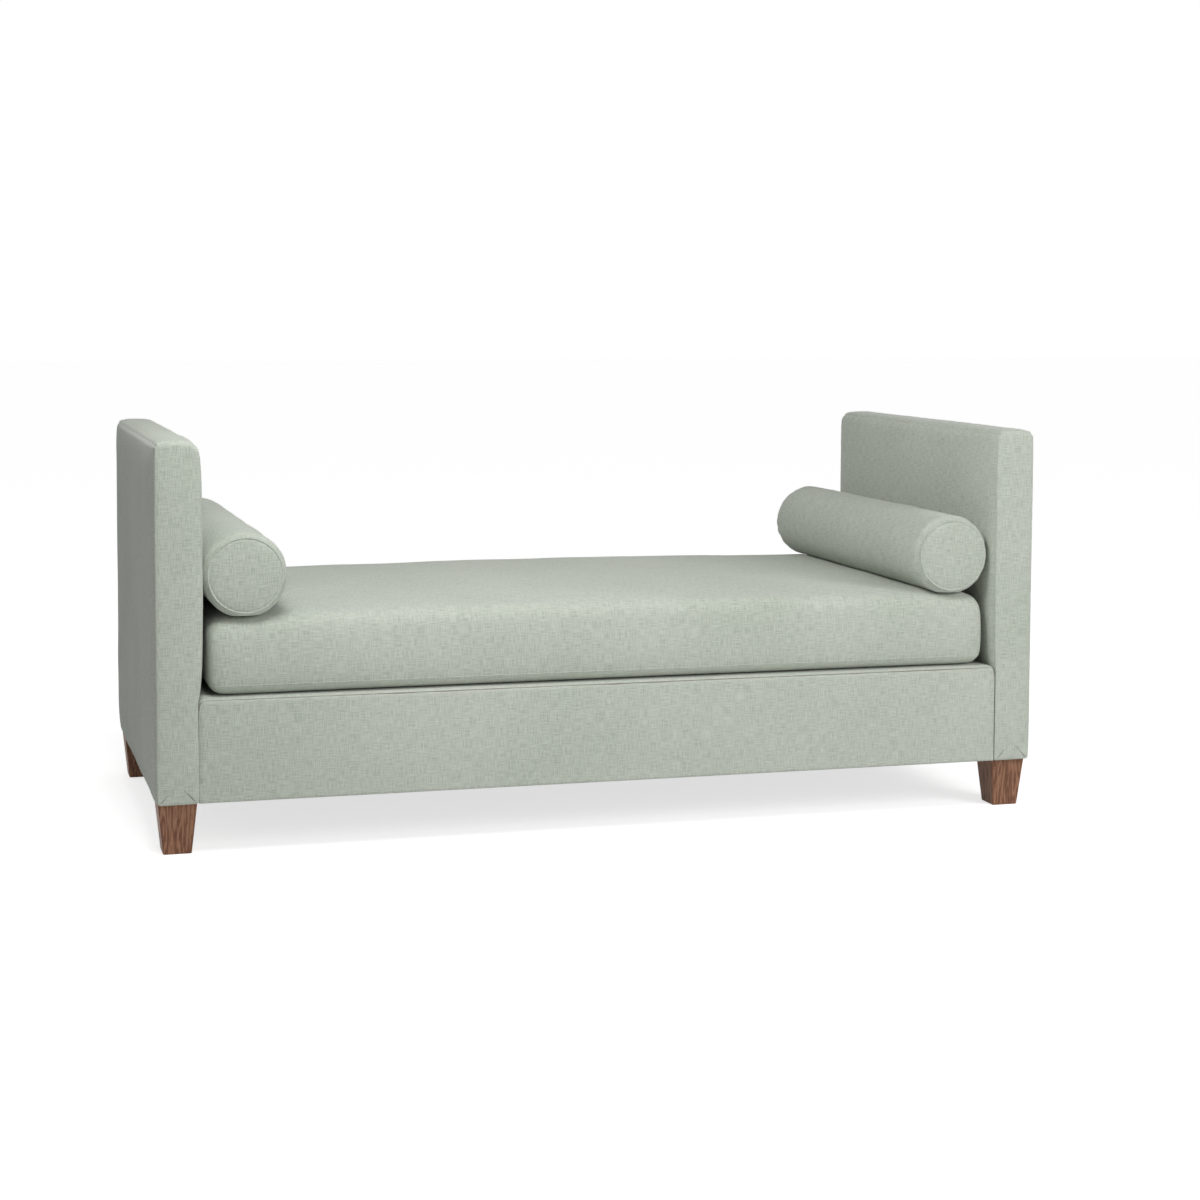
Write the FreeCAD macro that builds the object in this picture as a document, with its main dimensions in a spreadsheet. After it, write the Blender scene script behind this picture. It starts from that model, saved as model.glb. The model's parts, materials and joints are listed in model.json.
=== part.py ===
# Backless divan: two upholstered slab arms, a boxed seat base on tapered legs,
# one loose seat cushion and two loose round bolsters.
# Frame: X runs along the length, the front looks along -Y, Z is up and the floor is Z = 0.
import FreeCAD, Part
import math
import os
import PartDesign
import Sketcher

Vector = FreeCAD.Vector

# Driving dimensions, in millimetres unless the note says otherwise
DIMENSIONS = [
    ("overall_length", 1930, "outer arm seam to outer arm seam"),
    ("overall_depth", 914, "front arm face to back arm face"),
    ("overall_height", 848, "floor to the crown of the arm tops"),
    ("leg_height", 107, "floor to the underside of the upholstery"),
    ("base_height", 214, "underside of the upholstery to the seat deck"),
    ("arm_width", 84, "seam to seam across one arm"),
    ("arm_outer_crown", 8, "puff of the outer arm face"),
    ("arm_inner_crown", 10, "puff of the inner arm face"),
    ("arm_top_crown", 11, "rise of the arm top between its side seams"),
    ("arm_top_bow", 3, "rise of the arm top from its ends to its middle"),
    ("arm_crown_run", 90, "upright seam of an arm to where its faces are fullest"),
    ("arm_inner_edge", 16, "radius of the top edge that faces the seat"),
    ("arm_outer_edge", 8, "radius of the top edge that faces out"),
    ("arm_end_edge", 9, "radius of the top edge at the front and back"),
    ("arm_upright_edge", 5, "radius of the upright corners of an arm"),
    ("cover_thickness", 1.6, "woven cover with its lining"),
    ("cover_gap", 0.3, "cover to the padding under it"),
    ("arm_frame_width", 60, "outer panel face to inner panel face"),
    ("arm_panel_thickness", 15, "plywood side panels of an arm"),
    ("arm_post_width", 60, "front to back width of an arm post"),
    ("arm_rail_height", 55, "top and bottom rails of an arm"),
    ("window_margin", 70, "wood left round the windows of a panel"),
    ("window_corner", 24, "corner cut off each window"),
    ("end_padding", 8, "foam on the front and back faces"),
    ("top_padding", 10, "foam on the arm tops"),
    ("rail_thickness", 25, "front, back and end rails"),
    ("stretcher_height", 90, "cross stretchers under the seat"),
    ("stretcher_spacing", 590, "middle of one stretcher to the middle of the other"),
    ("corner_block_side", 62, "short sides of a corner block"),
    ("corner_block_height", 120, "height of a corner block"),
    ("base_fit", 0.5, "seat base to each arm"),
    ("base_top_edge", 10, "radius of the cover over the top of the base"),
    ("base_bottom_edge", 5, "radius of the cover under the base"),
    ("cover_top_return", 62, "cover carried in over the top of the base"),
    ("cover_bottom_return", 32, "cover carried in under the base"),
    ("dust_cover_thickness", 0.8, "cloth that closes the underside"),
    ("dust_cover_margin", 18, "front and back of the base to the dust cover"),
    ("dust_cover_end_margin", 2, "ends of the base to the dust cover"),
    ("webbing_width", 60, "seat webbing"),
    ("webbing_thickness", 1.6, "seat webbing"),
    ("webbing_weave_gap", 0.2, "between two straps where they cross"),
    ("webbing_landing", 20, "strap that lies on a rail"),
    ("long_strap_count", 6, "number of straps along the seat"),
    ("cross_strap_count", 10, "number of straps across the seat"),
    ("deck_pad_thickness", 10, "felt pad on the webbing"),
    ("deck_gap", 0.1, "webbing crests to the deck pad"),
    ("leg_top_width", 80, "leg where it meets the arm"),
    ("leg_foot_width", 58, "leg at the floor"),
    ("leg_setback", 18, "front face of the arm to the front of the leg"),
    ("leg_bolt_radius", 4, "hanger bolt"),
    ("leg_bolt_in_leg", 45, "hanger bolt screwed into the leg"),
    ("leg_bolt_in_post", 30, "hanger bolt above the leg"),
    ("insert_radius", 6.5, "six-sided threaded insert in an arm post, over its corners"),
    ("insert_length", 25, "threaded insert in an arm post"),
    ("thread_clearance", 0.05, "bolt to its nut or insert"),
    ("bore_clearance", 0.15, "bolt or insert to its hole in the wood"),
    ("post_bore_margin", 8, "hole in an arm post past the end of its hanger bolt"),
    ("leg_bore_margin", 2, "hole in a leg past the end of its hanger bolt"),
    ("joint_slit_clearance", 2, "joint bolt to the slits in cloth and foam round it"),
    ("leg_slit_clearance", 1, "hanger bolt to the slit in the cover round it"),
    ("joint_bolt_spacing", 600, "front to back between the two bolts of an arm"),
    ("joint_bolt_height", 105, "underside of the upholstery to those bolts"),
    ("joint_bolt_radius", 4, "bolt that holds an arm to the base"),
    ("joint_bolt_reach", 5, "bolt end past its nut"),
    ("joint_hexagon", 13, "bolt head and nut, across their flats"),
    ("joint_head_thickness", 5.5, "head of the joint bolt"),
    ("joint_nut_thickness", 6.5, "nut inside the arm"),
    ("cushion_side_fit", 3, "seat cushion to the fullest part of each arm"),
    ("cushion_rest", 0.4, "seat cushion above the deck"),
    ("cushion_inset", 2, "front of the cushion behind the front of the base"),
    ("cushion_thickness", 160, "deck to the edge of the cushion top"),
    ("cushion_crown", 21, "rise of the cushion top in the middle"),
    ("cushion_edge_rise", 11, "rise of its front and back top edges in the middle"),
    ("cushion_top_round", 30, "round of the front and back top edges"),
    ("cushion_bottom_round", 14, "round of the front and back bottom edges"),
    ("cushion_side_bulge", 4, "puff of the upright faces"),
    ("cushion_crown_run", 760, "end of the cushion to where its top is highest"),
    ("cushion_end_top_round", 30, "round of the top edge at each end"),
    ("cushion_end_bottom_round", 22, "round of the bottom edge at each end"),
    ("cushion_corner", 24, "upright corners of the cushion"),
    ("bolster_radius", 88, "bolster body"),
    ("bolster_ring_radius", 76, "seam ring of the bolster cap"),
    ("bolster_ring_spacing", 878, "seam ring to seam ring"),
    ("bolster_shoulder", 14, "rounded shoulder, along the bolster"),
    ("bolster_cap_crown", 4.5, "puff of the bolster cap"),
    ("bolster_cap_edge", 9, "sloped edge of the puffed cap"),
    ("bolster_flat", 60, "width of the flat on which a bolster rests"),
    ("bolster_side_fit", 1, "bolster to the fullest part of the arm"),
    ("bolster_rest", 0.5, "bolster above the cushion"),
]

doc = FreeCAD.newDocument("backless_divan")
sheet = doc.addObject("Spreadsheet::Sheet", "sizes")


def add_size(row, alias, value, note):
    """Write one named size in its row of the sheet."""
    sheet.set(f"A{row}", alias)
    sheet.set(f"B{row}", str(value))
    sheet.set(f"C{row}", note)
    sheet.setAlias(f"B{row}", alias)


for row, (alias, value, note) in enumerate(DIMENSIONS, start=1):
    add_size(row, alias, value, note)
doc.recompute()


def size(alias):
    """One size of the sheet, in millimetres."""
    return float(sheet.get(alias))


# Derived sizes, as expressions of the sheet
HALF_LENGTH = "sizes.overall_length / 2"
HALF_DEPTH = "sizes.overall_depth / 2"
UNDERSIDE = "sizes.leg_height"
DECK = "(sizes.leg_height + sizes.base_height)"
WRAP = "(sizes.cover_thickness + sizes.cover_gap)"
ARM_MIDDLE = f"({HALF_LENGTH} - sizes.arm_width / 2)"
FRAME_OUT = f"({ARM_MIDDLE} + sizes.arm_frame_width / 2)"
FRAME_IN = f"({ARM_MIDDLE} - sizes.arm_frame_width / 2)"
FRAME_HALF_DEPTH = f"({HALF_DEPTH} - {WRAP} - sizes.end_padding)"
FRAME_BOTTOM = f"({UNDERSIDE} + {WRAP})"
FRAME_TOP = f"(sizes.overall_height - sizes.arm_top_crown - {WRAP} - sizes.top_padding)"
BASE_HALF = f"({HALF_LENGTH} - sizes.arm_width - sizes.base_fit)"
WEAVE_RISE = "((sizes.webbing_thickness + sizes.webbing_weave_gap) / 2)"
WEBBING_STACK = f"(sizes.webbing_thickness + 2 * {WEAVE_RISE})"
RAIL_TOP = f"({DECK} - {WRAP} - sizes.deck_pad_thickness - sizes.deck_gap - {WEBBING_STACK})"
RAIL_INNER = f"({FRAME_HALF_DEPTH} - sizes.rail_thickness)"
END_RAIL_INNER = f"({BASE_HALF} - sizes.rail_thickness)"
LEG_PLACE = f"({HALF_DEPTH} - sizes.leg_setback - sizes.leg_top_width / 2)"
JOINT_HEIGHT = f"({UNDERSIDE} + sizes.joint_bolt_height)"
CUSHION_HALF = f"({HALF_LENGTH} - sizes.arm_width - sizes.arm_inner_crown - sizes.cushion_side_fit)"

nodes = []


def value(expression):
    """The number that an expression of the sheet gives now."""
    return float(sheet.evalExpression(expression))


def node(feature, label):
    """Keep a feature as a sub-part under its own label."""
    feature.Label = label
    nodes.append(feature)
    return feature


def bind(feature, **expressions):
    """Tie properties of a feature to the sheet."""
    for name, expression in expressions.items():
        feature.setExpression(name, expression)
    return feature


def place(feature, x="0", y="0", z="0"):
    """Tie the place of a feature to the sheet."""
    feature.setExpression("Placement.Base.x", x)
    feature.setExpression("Placement.Base.y", y)
    feature.setExpression("Placement.Base.z", z)
    return feature


def board(name, low, high):
    """A sawn board between two corners, each given as three expressions."""
    box = doc.addObject("Part::Box", name)
    lengths = [f"({top}) - ({bottom})" for bottom, top in zip(low, high)]
    bind(box, Length=lengths[0], Width=lengths[1], Height=lengths[2])
    return place(box, *low)


def rod(name, radius, length, start, turn=None):
    """A round bar from its start point, upright unless turned."""
    bar = doc.addObject("Part::Cylinder", name)
    bind(bar, Radius=radius, Height=length)
    if turn:
        bar.Placement = FreeCAD.Placement(Vector(), turn)
    return place(bar, *start)


def cut(name, base, tool):
    """The base with the tool taken out of it."""
    feature = doc.addObject("Part::Cut", name)
    feature.Base = base
    feature.Tool = tool
    return feature


def fused(name, parts):
    """Several pieces as one."""
    feature = doc.addObject("Part::MultiFuse", name)
    feature.Shapes = parts
    return feature


def group(name, parts):
    """Several separate pieces kept side by side."""
    feature = doc.addObject("Part::Compound", name)
    feature.Links = parts
    return feature


def mirrored(name, source, normal):
    """The source mirrored in a plane through the origin."""
    feature = doc.addObject("Part::Mirroring", name)
    feature.Source = source
    feature.Normal = normal
    return feature


ACROSS = Vector(1, 0, 0)
FRONT_TO_BACK = Vector(0, 1, 0)
ALONG_X = FreeCAD.Rotation(Vector(0, 1, 0), 90)
# Outlines and bars that cut a form run past it by these
PAD_MARGIN = 20
CUT_MARGIN = 5


def both_sides(name, right):
    """Keep a right hand piece and its mirror as the left hand one."""
    node(right, f"right_{name}")
    return node(mirrored(f"left_{name}_mirror", right, ACROSS), f"left_{name}")


def four_corners(name, corner):
    """A piece at the back right corner with its mirrors at the other three."""
    left = mirrored(f"{name}_left", corner, ACROSS)
    front = mirrored(f"{name}_front", corner, FRONT_TO_BACK)
    front_left = mirrored(f"{name}_front_left", left, FRONT_TO_BACK)
    return group(name, [corner, left, front, front_left])


def new_body(name):
    """An empty body."""
    return doc.addObject("PartDesign::Body", name)


def origin_plane(body, role):
    """One of the body's own origin planes."""
    for feature in body.Origin.OriginFeatures:
        if feature.Role == role:
            return feature
    raise ValueError(role)


def new_sketch(body, name, role, rise=None):
    """A sketch on one of the body's origin planes, or raised above it."""
    sketch = body.newObject("Sketcher::SketchObject", name)
    sketch.AttachmentSupport = [(origin_plane(body, role), "")]
    sketch.MapMode = "FlatFace"
    if rise:
        sketch.setExpression("AttachmentOffset.Base.z", rise)
    return sketch


def arc_between(start, end, radius):
    """Arc from start to end with its centre on the left of the way there."""
    chord = end - start
    reach = math.sqrt(max(radius ** 2 - (chord.Length / 2) ** 2, 0))
    left = Vector(-chord.y, chord.x, 0).normalize()
    centre = (start + end) / 2 + left * reach
    return Part.Arc(start, centre - left * radius, end)


def draw_outline(sketch, corners, radii=None):
    """Closed outline through corners given as pairs of expressions, each corner tied to the sheet.

    radii maps the index of a side to the expression of its radius: that side is an arc,
    turning left along the outline for a positive radius.
    """
    radii = radii or {}
    points = [Vector(value(x), value(y), 0) for x, y in corners]
    count = len(points)
    ends = []
    for index, start in enumerate(points):
        end = points[(index + 1) % count]
        turn = value(radii[index]) if index in radii else 0
        if turn > 0:
            sketch.addGeometry(arc_between(start, end, turn), False)
        elif turn < 0:
            sketch.addGeometry(arc_between(end, start, -turn), False)
        else:
            sketch.addGeometry(Part.LineSegment(start, end), False)
        ends.append((2, 1) if turn < 0 else (1, 2))
    for index in range(count):
        following = (index + 1) % count
        sketch.addConstraint(Sketcher.Constraint(
            "Coincident", index, ends[index][1], following, ends[following][0]))
    for index, (x, y) in enumerate(corners):
        for kind, expression in (("DistanceX", x), ("DistanceY", y)):
            name = f"{kind}{index}"
            number = sketch.addConstraint(Sketcher.Constraint(
                kind, -1, 1, index, ends[index][0], value(expression)))
            sketch.renameConstraint(number, name)
            sketch.setExpression(f"Constraints.{name}", expression)
    for index, radius in radii.items():
        name = f"Radius{index}"
        number = sketch.addConstraint(Sketcher.Constraint("Radius", index, abs(value(radius))))
        sketch.renameConstraint(number, name)
        sketch.setExpression(f"Constraints.{name}", f"abs({radius})")
    return sketch


def pad(body, sketch, length, midplane=False, back=False):
    """Raise a sketch to a length."""
    feature = body.newObject("PartDesign::Pad", f"{body.Name}_pad")
    feature.Profile = sketch
    feature.Midplane = midplane
    feature.Reversed = back
    feature.setExpression("Length", length)
    return feature


def pocket(body, sketch, length, midplane=False, back=False):
    """Cut a sketch out of the body."""
    feature = body.newObject("PartDesign::Pocket", f"{sketch.Name}_pocket")
    feature.Profile = sketch
    feature.Midplane = midplane
    feature.Reversed = back
    feature.setExpression("Length", length)
    return feature


def crowned(width, rise):
    """Radius of an arc over a width with the given rise."""
    return f"((({width})^2 / 4 + ({rise})^2) / (2 * ({rise})))"


# Arms: the form is what three outlines share, one seen from the front, one from above
# and one from the side. Each face is puffed by long arcs, and all of them draw in by an
# inset for the layers under the cover.


def arm_front_outline(name, inset):
    """Right arm from the front: puffed faces and a crowned top between two rounded edges."""
    body = new_body(name)
    sketch = new_sketch(body, f"{name}_outline", "XZ_Plane")
    inner = f"({HALF_LENGTH} - sizes.arm_width + {inset})"
    out = f"({HALF_LENGTH} - {inset})"
    bottom = f"({UNDERSIDE} + {inset})"
    seam = f"(sizes.overall_height - sizes.arm_top_crown - {inset})"
    inner_edge = f"(sizes.arm_inner_edge - {inset})"
    outer_edge = f"(sizes.arm_outer_edge - {inset})"
    draw_outline(sketch, [
        (inner, bottom), (out, bottom), (out, f"{seam} - {outer_edge}"),
        (f"{out} - {outer_edge}", seam), (f"{inner} + {inner_edge}", seam),
        (inner, f"{seam} - {inner_edge}"), (inner, DECK),
    ], {
        1: crowned(f"{seam} - {outer_edge} - {bottom}", "sizes.arm_outer_crown"),
        2: outer_edge,
        3: crowned(f"{out} - {outer_edge} - {inner} - {inner_edge}", "sizes.arm_top_crown"),
        4: inner_edge,
        5: crowned(f"{seam} - {inner_edge} - {DECK}", "sizes.arm_inner_crown"),
    })
    pad(body, sketch, f"sizes.overall_depth + {PAD_MARGIN}", midplane=True)
    return body


def arm_plan_outline(name, inset):
    """Right arm from above: puffed faces between rounded upright corners."""
    body = new_body(name)
    sketch = new_sketch(body, f"{name}_outline", "XY_Plane")
    inner = f"({HALF_LENGTH} - sizes.arm_width + {inset})"
    out = f"({HALF_LENGTH} - {inset})"
    end = f"({HALF_DEPTH} - {inset})"
    edge = "sizes.arm_upright_edge"
    run = "sizes.arm_crown_run"
    full_out = f"({out} + sizes.arm_outer_crown)"
    full_in = f"({inner} - sizes.arm_inner_crown)"
    rise_out = crowned(f"2 * {run}", "sizes.arm_outer_crown")
    rise_in = crowned(f"2 * {run}", "sizes.arm_inner_crown")
    draw_outline(sketch, [
        (f"{inner} + {edge}", f"0 - {end}"), (f"{out} - {edge}", f"0 - {end}"),
        (out, f"{edge} - {end}"), (full_out, f"{edge} + {run} - {end}"),
        (full_out, f"{end} - {edge} - {run}"), (out, f"{end} - {edge}"),
        (f"{out} - {edge}", end), (f"{inner} + {edge}", end),
        (inner, f"{end} - {edge}"), (full_in, f"{end} - {edge} - {run}"),
        (full_in, f"{edge} + {run} - {end}"), (inner, f"{edge} - {end}"),
    ], {1: edge, 2: rise_out, 4: rise_out, 5: edge, 7: edge, 8: rise_in, 10: rise_in, 11: edge})
    pad(body, sketch, f"sizes.overall_height + {PAD_MARGIN}")
    return body


def arm_side_outline(name, inset):
    """Both arms from the side: gently bowed top between two rounded ends."""
    body = new_body(name)
    sketch = new_sketch(body, f"{name}_outline", "YZ_Plane")
    end = f"({HALF_DEPTH} - {inset})"
    edge = f"(sizes.arm_end_edge - {inset})"
    seam = f"(sizes.overall_height - sizes.arm_top_bow - {inset})"
    draw_outline(sketch, [
        (f"0 - {end}", "0"), (end, "0"), (end, f"{seam} - {edge}"),
        (f"{end} - {edge}", seam), (f"{edge} - {end}", seam), (f"0 - {end}", f"{seam} - {edge}"),
    ], {2: edge, 4: edge, 3: crowned(f"2 * ({end} - {edge})", "sizes.arm_top_bow")})
    pad(body, sketch, f"{HALF_LENGTH} + {PAD_MARGIN}")
    return body


def common(name, parts):
    """What several shapes share."""
    feature = doc.addObject("Part::MultiCommon", name)
    feature.Shapes = parts
    return feature


def arm_form(name, inset):
    """The right arm's puffed and rounded form, drawn in by an inset all round."""
    return common(name, [arm_front_outline(f"{name}_front", inset),
                         arm_plan_outline(f"{name}_plan", inset),
                         arm_side_outline(f"{name}_side", inset)])


def leg_places():
    """Name and signs of X and Y of each leg."""
    for side, x_sign in (("left", "-"), ("right", "")):
        for end, y_sign in (("front", "-"), ("back", "")):
            yield f"{side}_{end}", x_sign, y_sign


def bolt_path(name, radius, inner_end):
    """Straight bars along X at the two places where bolts hold the right arm to the base."""
    bars = []
    for end, sign in (("front", "-"), ("back", "")):
        start = (inner_end, f"{sign}(sizes.joint_bolt_spacing / 2)", JOINT_HEIGHT)
        length = f"{HALF_LENGTH} - ({inner_end})"
        bars.append(rod(f"{name}_{end}", radius, length, start, ALONG_X))
    return fused(name, bars)


def leg_bolt_path(name, radius, low, high):
    """Upright bars on the axes of the two right legs."""
    bars = []
    for end, sign in (("front", "-"), ("back", "")):
        start = (ARM_MIDDLE, f"{sign}{LEG_PLACE}", low)
        bars.append(rod(f"{name}_{end}", radius, f"({high}) - ({low})", start))
    return fused(name, bars)


def slits(name, places, half_x, half_y, half_z):
    """Square slits in cloth or foam where bolts pass."""
    boxes = []
    for index, (x, y, z) in enumerate(places):
        boxes.append(board(f"{name}_{index}",
                           (f"{x} - {half_x}", f"{y} - {half_y}", f"{z} - {half_z}"),
                           (f"{x} + {half_x}", f"{y} + {half_y}", f"{z} + {half_z}")))
    return boxes


BOLT_SLIT = "(sizes.joint_bolt_radius + sizes.joint_slit_clearance)"
BASE_TO_FRAME = f"({FRAME_IN} - {BASE_HALF})"


def base_bolt_slits(name):
    """Slits round the bolts that hold the right arm to the base."""
    places = [(BASE_HALF, f"{sign}sizes.joint_bolt_spacing / 2", JOINT_HEIGHT)
              for sign in ("-", "")]
    return slits(name, places, BASE_TO_FRAME, BOLT_SLIT, BOLT_SLIT)


def make_arm_covers():
    """Woven covers of the arms, open only where bolts pass."""
    outer = arm_form("arm_cover_outside", "0")
    inside = arm_form("arm_cover_inside", "sizes.cover_thickness")
    leg_places_right = [(ARM_MIDDLE, f"{sign}{LEG_PLACE}", UNDERSIDE) for sign in ("-", "")]
    leg_slit = "(sizes.leg_bolt_radius + sizes.leg_slit_clearance)"
    leg_slits = slits("arm_cover_leg_slit", leg_places_right, leg_slit, leg_slit,
                      f"{CUT_MARGIN}")
    both_sides("arm_cover", cut("arm_cover", outer, fused(
        "arm_cover_hollow", [inside, *leg_slits, *base_bolt_slits("arm_cover_slit")])))


def make_arm_padding():
    """Foam and batting between each arm frame and its cover."""
    form = arm_form("arm_padding_form", WRAP)
    frame = board("arm_frame_room",
                  (FRAME_IN, f"0 - {FRAME_HALF_DEPTH}", "0"),
                  (FRAME_OUT, FRAME_HALF_DEPTH, FRAME_TOP))
    both_sides("arm_padding", cut("arm_padding", form, fused(
        "arm_padding_hollow", [frame, *base_bolt_slits("arm_padding_slit")])))


def window_outline(body, name, low, high):
    """Sketch of a window with its four corners cut off, in the YZ plane."""
    sketch = new_sketch(body, name, "YZ_Plane")
    corner = "sizes.window_corner"
    left, bottom = low
    right, top = high
    draw_outline(sketch, [
        (f"{left} + {corner}", bottom), (f"{right} - {corner}", bottom),
        (right, f"{bottom} + {corner}"), (right, f"{top} - {corner}"),
        (f"{right} - {corner}", top), (f"{left} + {corner}", top),
        (left, f"{top} - {corner}"), (left, f"{bottom} + {corner}")])
    return sketch


def arm_panel(name, inner_face, window_rows):
    """Plywood side of the right arm, with a pair of windows in each row."""
    body = new_body(name)
    sketch = new_sketch(body, f"{name}_outline", "YZ_Plane")
    draw_outline(sketch, [
        (f"0 - {FRAME_HALF_DEPTH}", FRAME_BOTTOM), (FRAME_HALF_DEPTH, FRAME_BOTTOM),
        (FRAME_HALF_DEPTH, FRAME_TOP), (f"0 - {FRAME_HALF_DEPTH}", FRAME_TOP)])
    pad(body, sketch, "sizes.arm_panel_thickness")
    last = None
    for row, (bottom, top) in enumerate(window_rows):
        window = window_outline(body, f"{name}_window_{row}",
                                ("sizes.window_margin / 2", bottom),
                                (f"{FRAME_HALF_DEPTH} - sizes.window_margin", top))
        hole = pocket(body, window, "sizes.arm_panel_thickness", back=True)
        last = body.newObject("PartDesign::Mirrored", f"{name}_pair_{row}")
        last.Originals = [hole]
        last.MirrorPlane = (origin_plane(body, "XZ_Plane"), [""])
        body.Tip = last
    place(body, x=inner_face)
    return body


def make_arm_frames():
    """Panels, posts and rails inside each arm."""
    upper = (f"{DECK} + sizes.window_margin / 2", f"{FRAME_TOP} - sizes.window_margin")
    lower = (f"{FRAME_BOTTOM} + sizes.window_margin", f"{DECK} - sizes.window_margin / 2")
    both_sides("arm_outer_panel", arm_panel(
        "arm_outer_panel", f"{FRAME_OUT} - sizes.arm_panel_thickness", [lower, upper]))
    inner = arm_panel("arm_inner_panel_sheet", FRAME_IN, [upper])
    both_sides("arm_inner_panel", cut("arm_inner_panel", inner, bolt_path(
        "arm_inner_panel_holes", "sizes.joint_bolt_radius + sizes.bore_clearance",
        BASE_HALF)))
    core_in = f"({FRAME_IN} + sizes.arm_panel_thickness)"
    core_out = f"({FRAME_OUT} - sizes.arm_panel_thickness)"
    bores = leg_bolt_path("arm_post_bores", "sizes.insert_radius + sizes.bore_clearance",
                          UNDERSIDE, f"{UNDERSIDE} + sizes.leg_bolt_in_post + sizes.post_bore_margin")
    for end, low, high in (
            ("front", f"0 - {FRAME_HALF_DEPTH}", f"sizes.arm_post_width - {FRAME_HALF_DEPTH}"),
            ("back", f"{FRAME_HALF_DEPTH} - sizes.arm_post_width", FRAME_HALF_DEPTH)):
        blank = board(f"arm_{end}_post_blank", (core_in, low, FRAME_BOTTOM),
                      (core_out, high, FRAME_TOP))
        both_sides(f"arm_{end}_post", cut(f"arm_{end}_post", blank, bores))
    span = f"({FRAME_HALF_DEPTH} - sizes.arm_post_width)"
    both_sides("arm_top_rail", board(
        "arm_top_rail", (core_in, f"0 - {span}", f"{FRAME_TOP} - sizes.arm_rail_height"),
        (core_out, span, FRAME_TOP)))
    both_sides("arm_bottom_rail", board(
        "arm_bottom_rail", (core_in, f"0 - {span}", FRAME_BOTTOM),
        (core_out, span, f"{FRAME_BOTTOM} + sizes.arm_rail_height")))


make_arm_covers()
make_arm_padding()
make_arm_frames()


# Seat base between the arms
RAIL_BOTTOM = f"({UNDERSIDE} + {WRAP})"
PAD_BOTTOM = f"({RAIL_TOP} + {WEBBING_STACK} + sizes.deck_gap)"
PAD_TOP = f"({DECK} - {WRAP})"


def front_and_back(name, back):
    """Keep a piece of the back and its mirror as the front one."""
    node(back, f"back_{name}")
    return node(mirrored(f"front_{name}_mirror", back, FRONT_TO_BACK), f"front_{name}")


def make_base_frame():
    """Rails, stretchers and corner blocks of the seat base."""
    front_and_back("rail", board(
        "back_rail", (f"0 - {BASE_HALF}", RAIL_INNER, RAIL_BOTTOM),
        (BASE_HALF, FRAME_HALF_DEPTH, RAIL_TOP)))
    blank = board("end_rail_blank", (END_RAIL_INNER, f"0 - {RAIL_INNER}", RAIL_BOTTOM),
                  (BASE_HALF, RAIL_INNER, RAIL_TOP))
    both_sides("end_rail", cut("end_rail", blank, bolt_path(
        "end_rail_holes", "sizes.joint_bolt_radius + sizes.bore_clearance",
        f"{END_RAIL_INNER} - {CUT_MARGIN}")))
    both_sides("cross_stretcher", board(
        "cross_stretcher",
        ("(sizes.stretcher_spacing - sizes.rail_thickness) / 2", f"0 - {RAIL_INNER}", RAIL_BOTTOM),
        ("(sizes.stretcher_spacing + sizes.rail_thickness) / 2", RAIL_INNER,
         f"{RAIL_BOTTOM} + sizes.stretcher_height")))
    block = new_body("corner_block")
    sketch = new_sketch(block, "corner_block_outline", "XY_Plane")
    draw_outline(sketch, [
        (f"{END_RAIL_INNER} - sizes.corner_block_side", RAIL_INNER),
        (END_RAIL_INNER, f"{RAIL_INNER} - sizes.corner_block_side"),
        (END_RAIL_INNER, RAIL_INNER)])
    pad(block, sketch, "sizes.corner_block_height")
    place(block, z=RAIL_BOTTOM)
    node(four_corners("corner_block_set", block), "corner_blocks")


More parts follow.
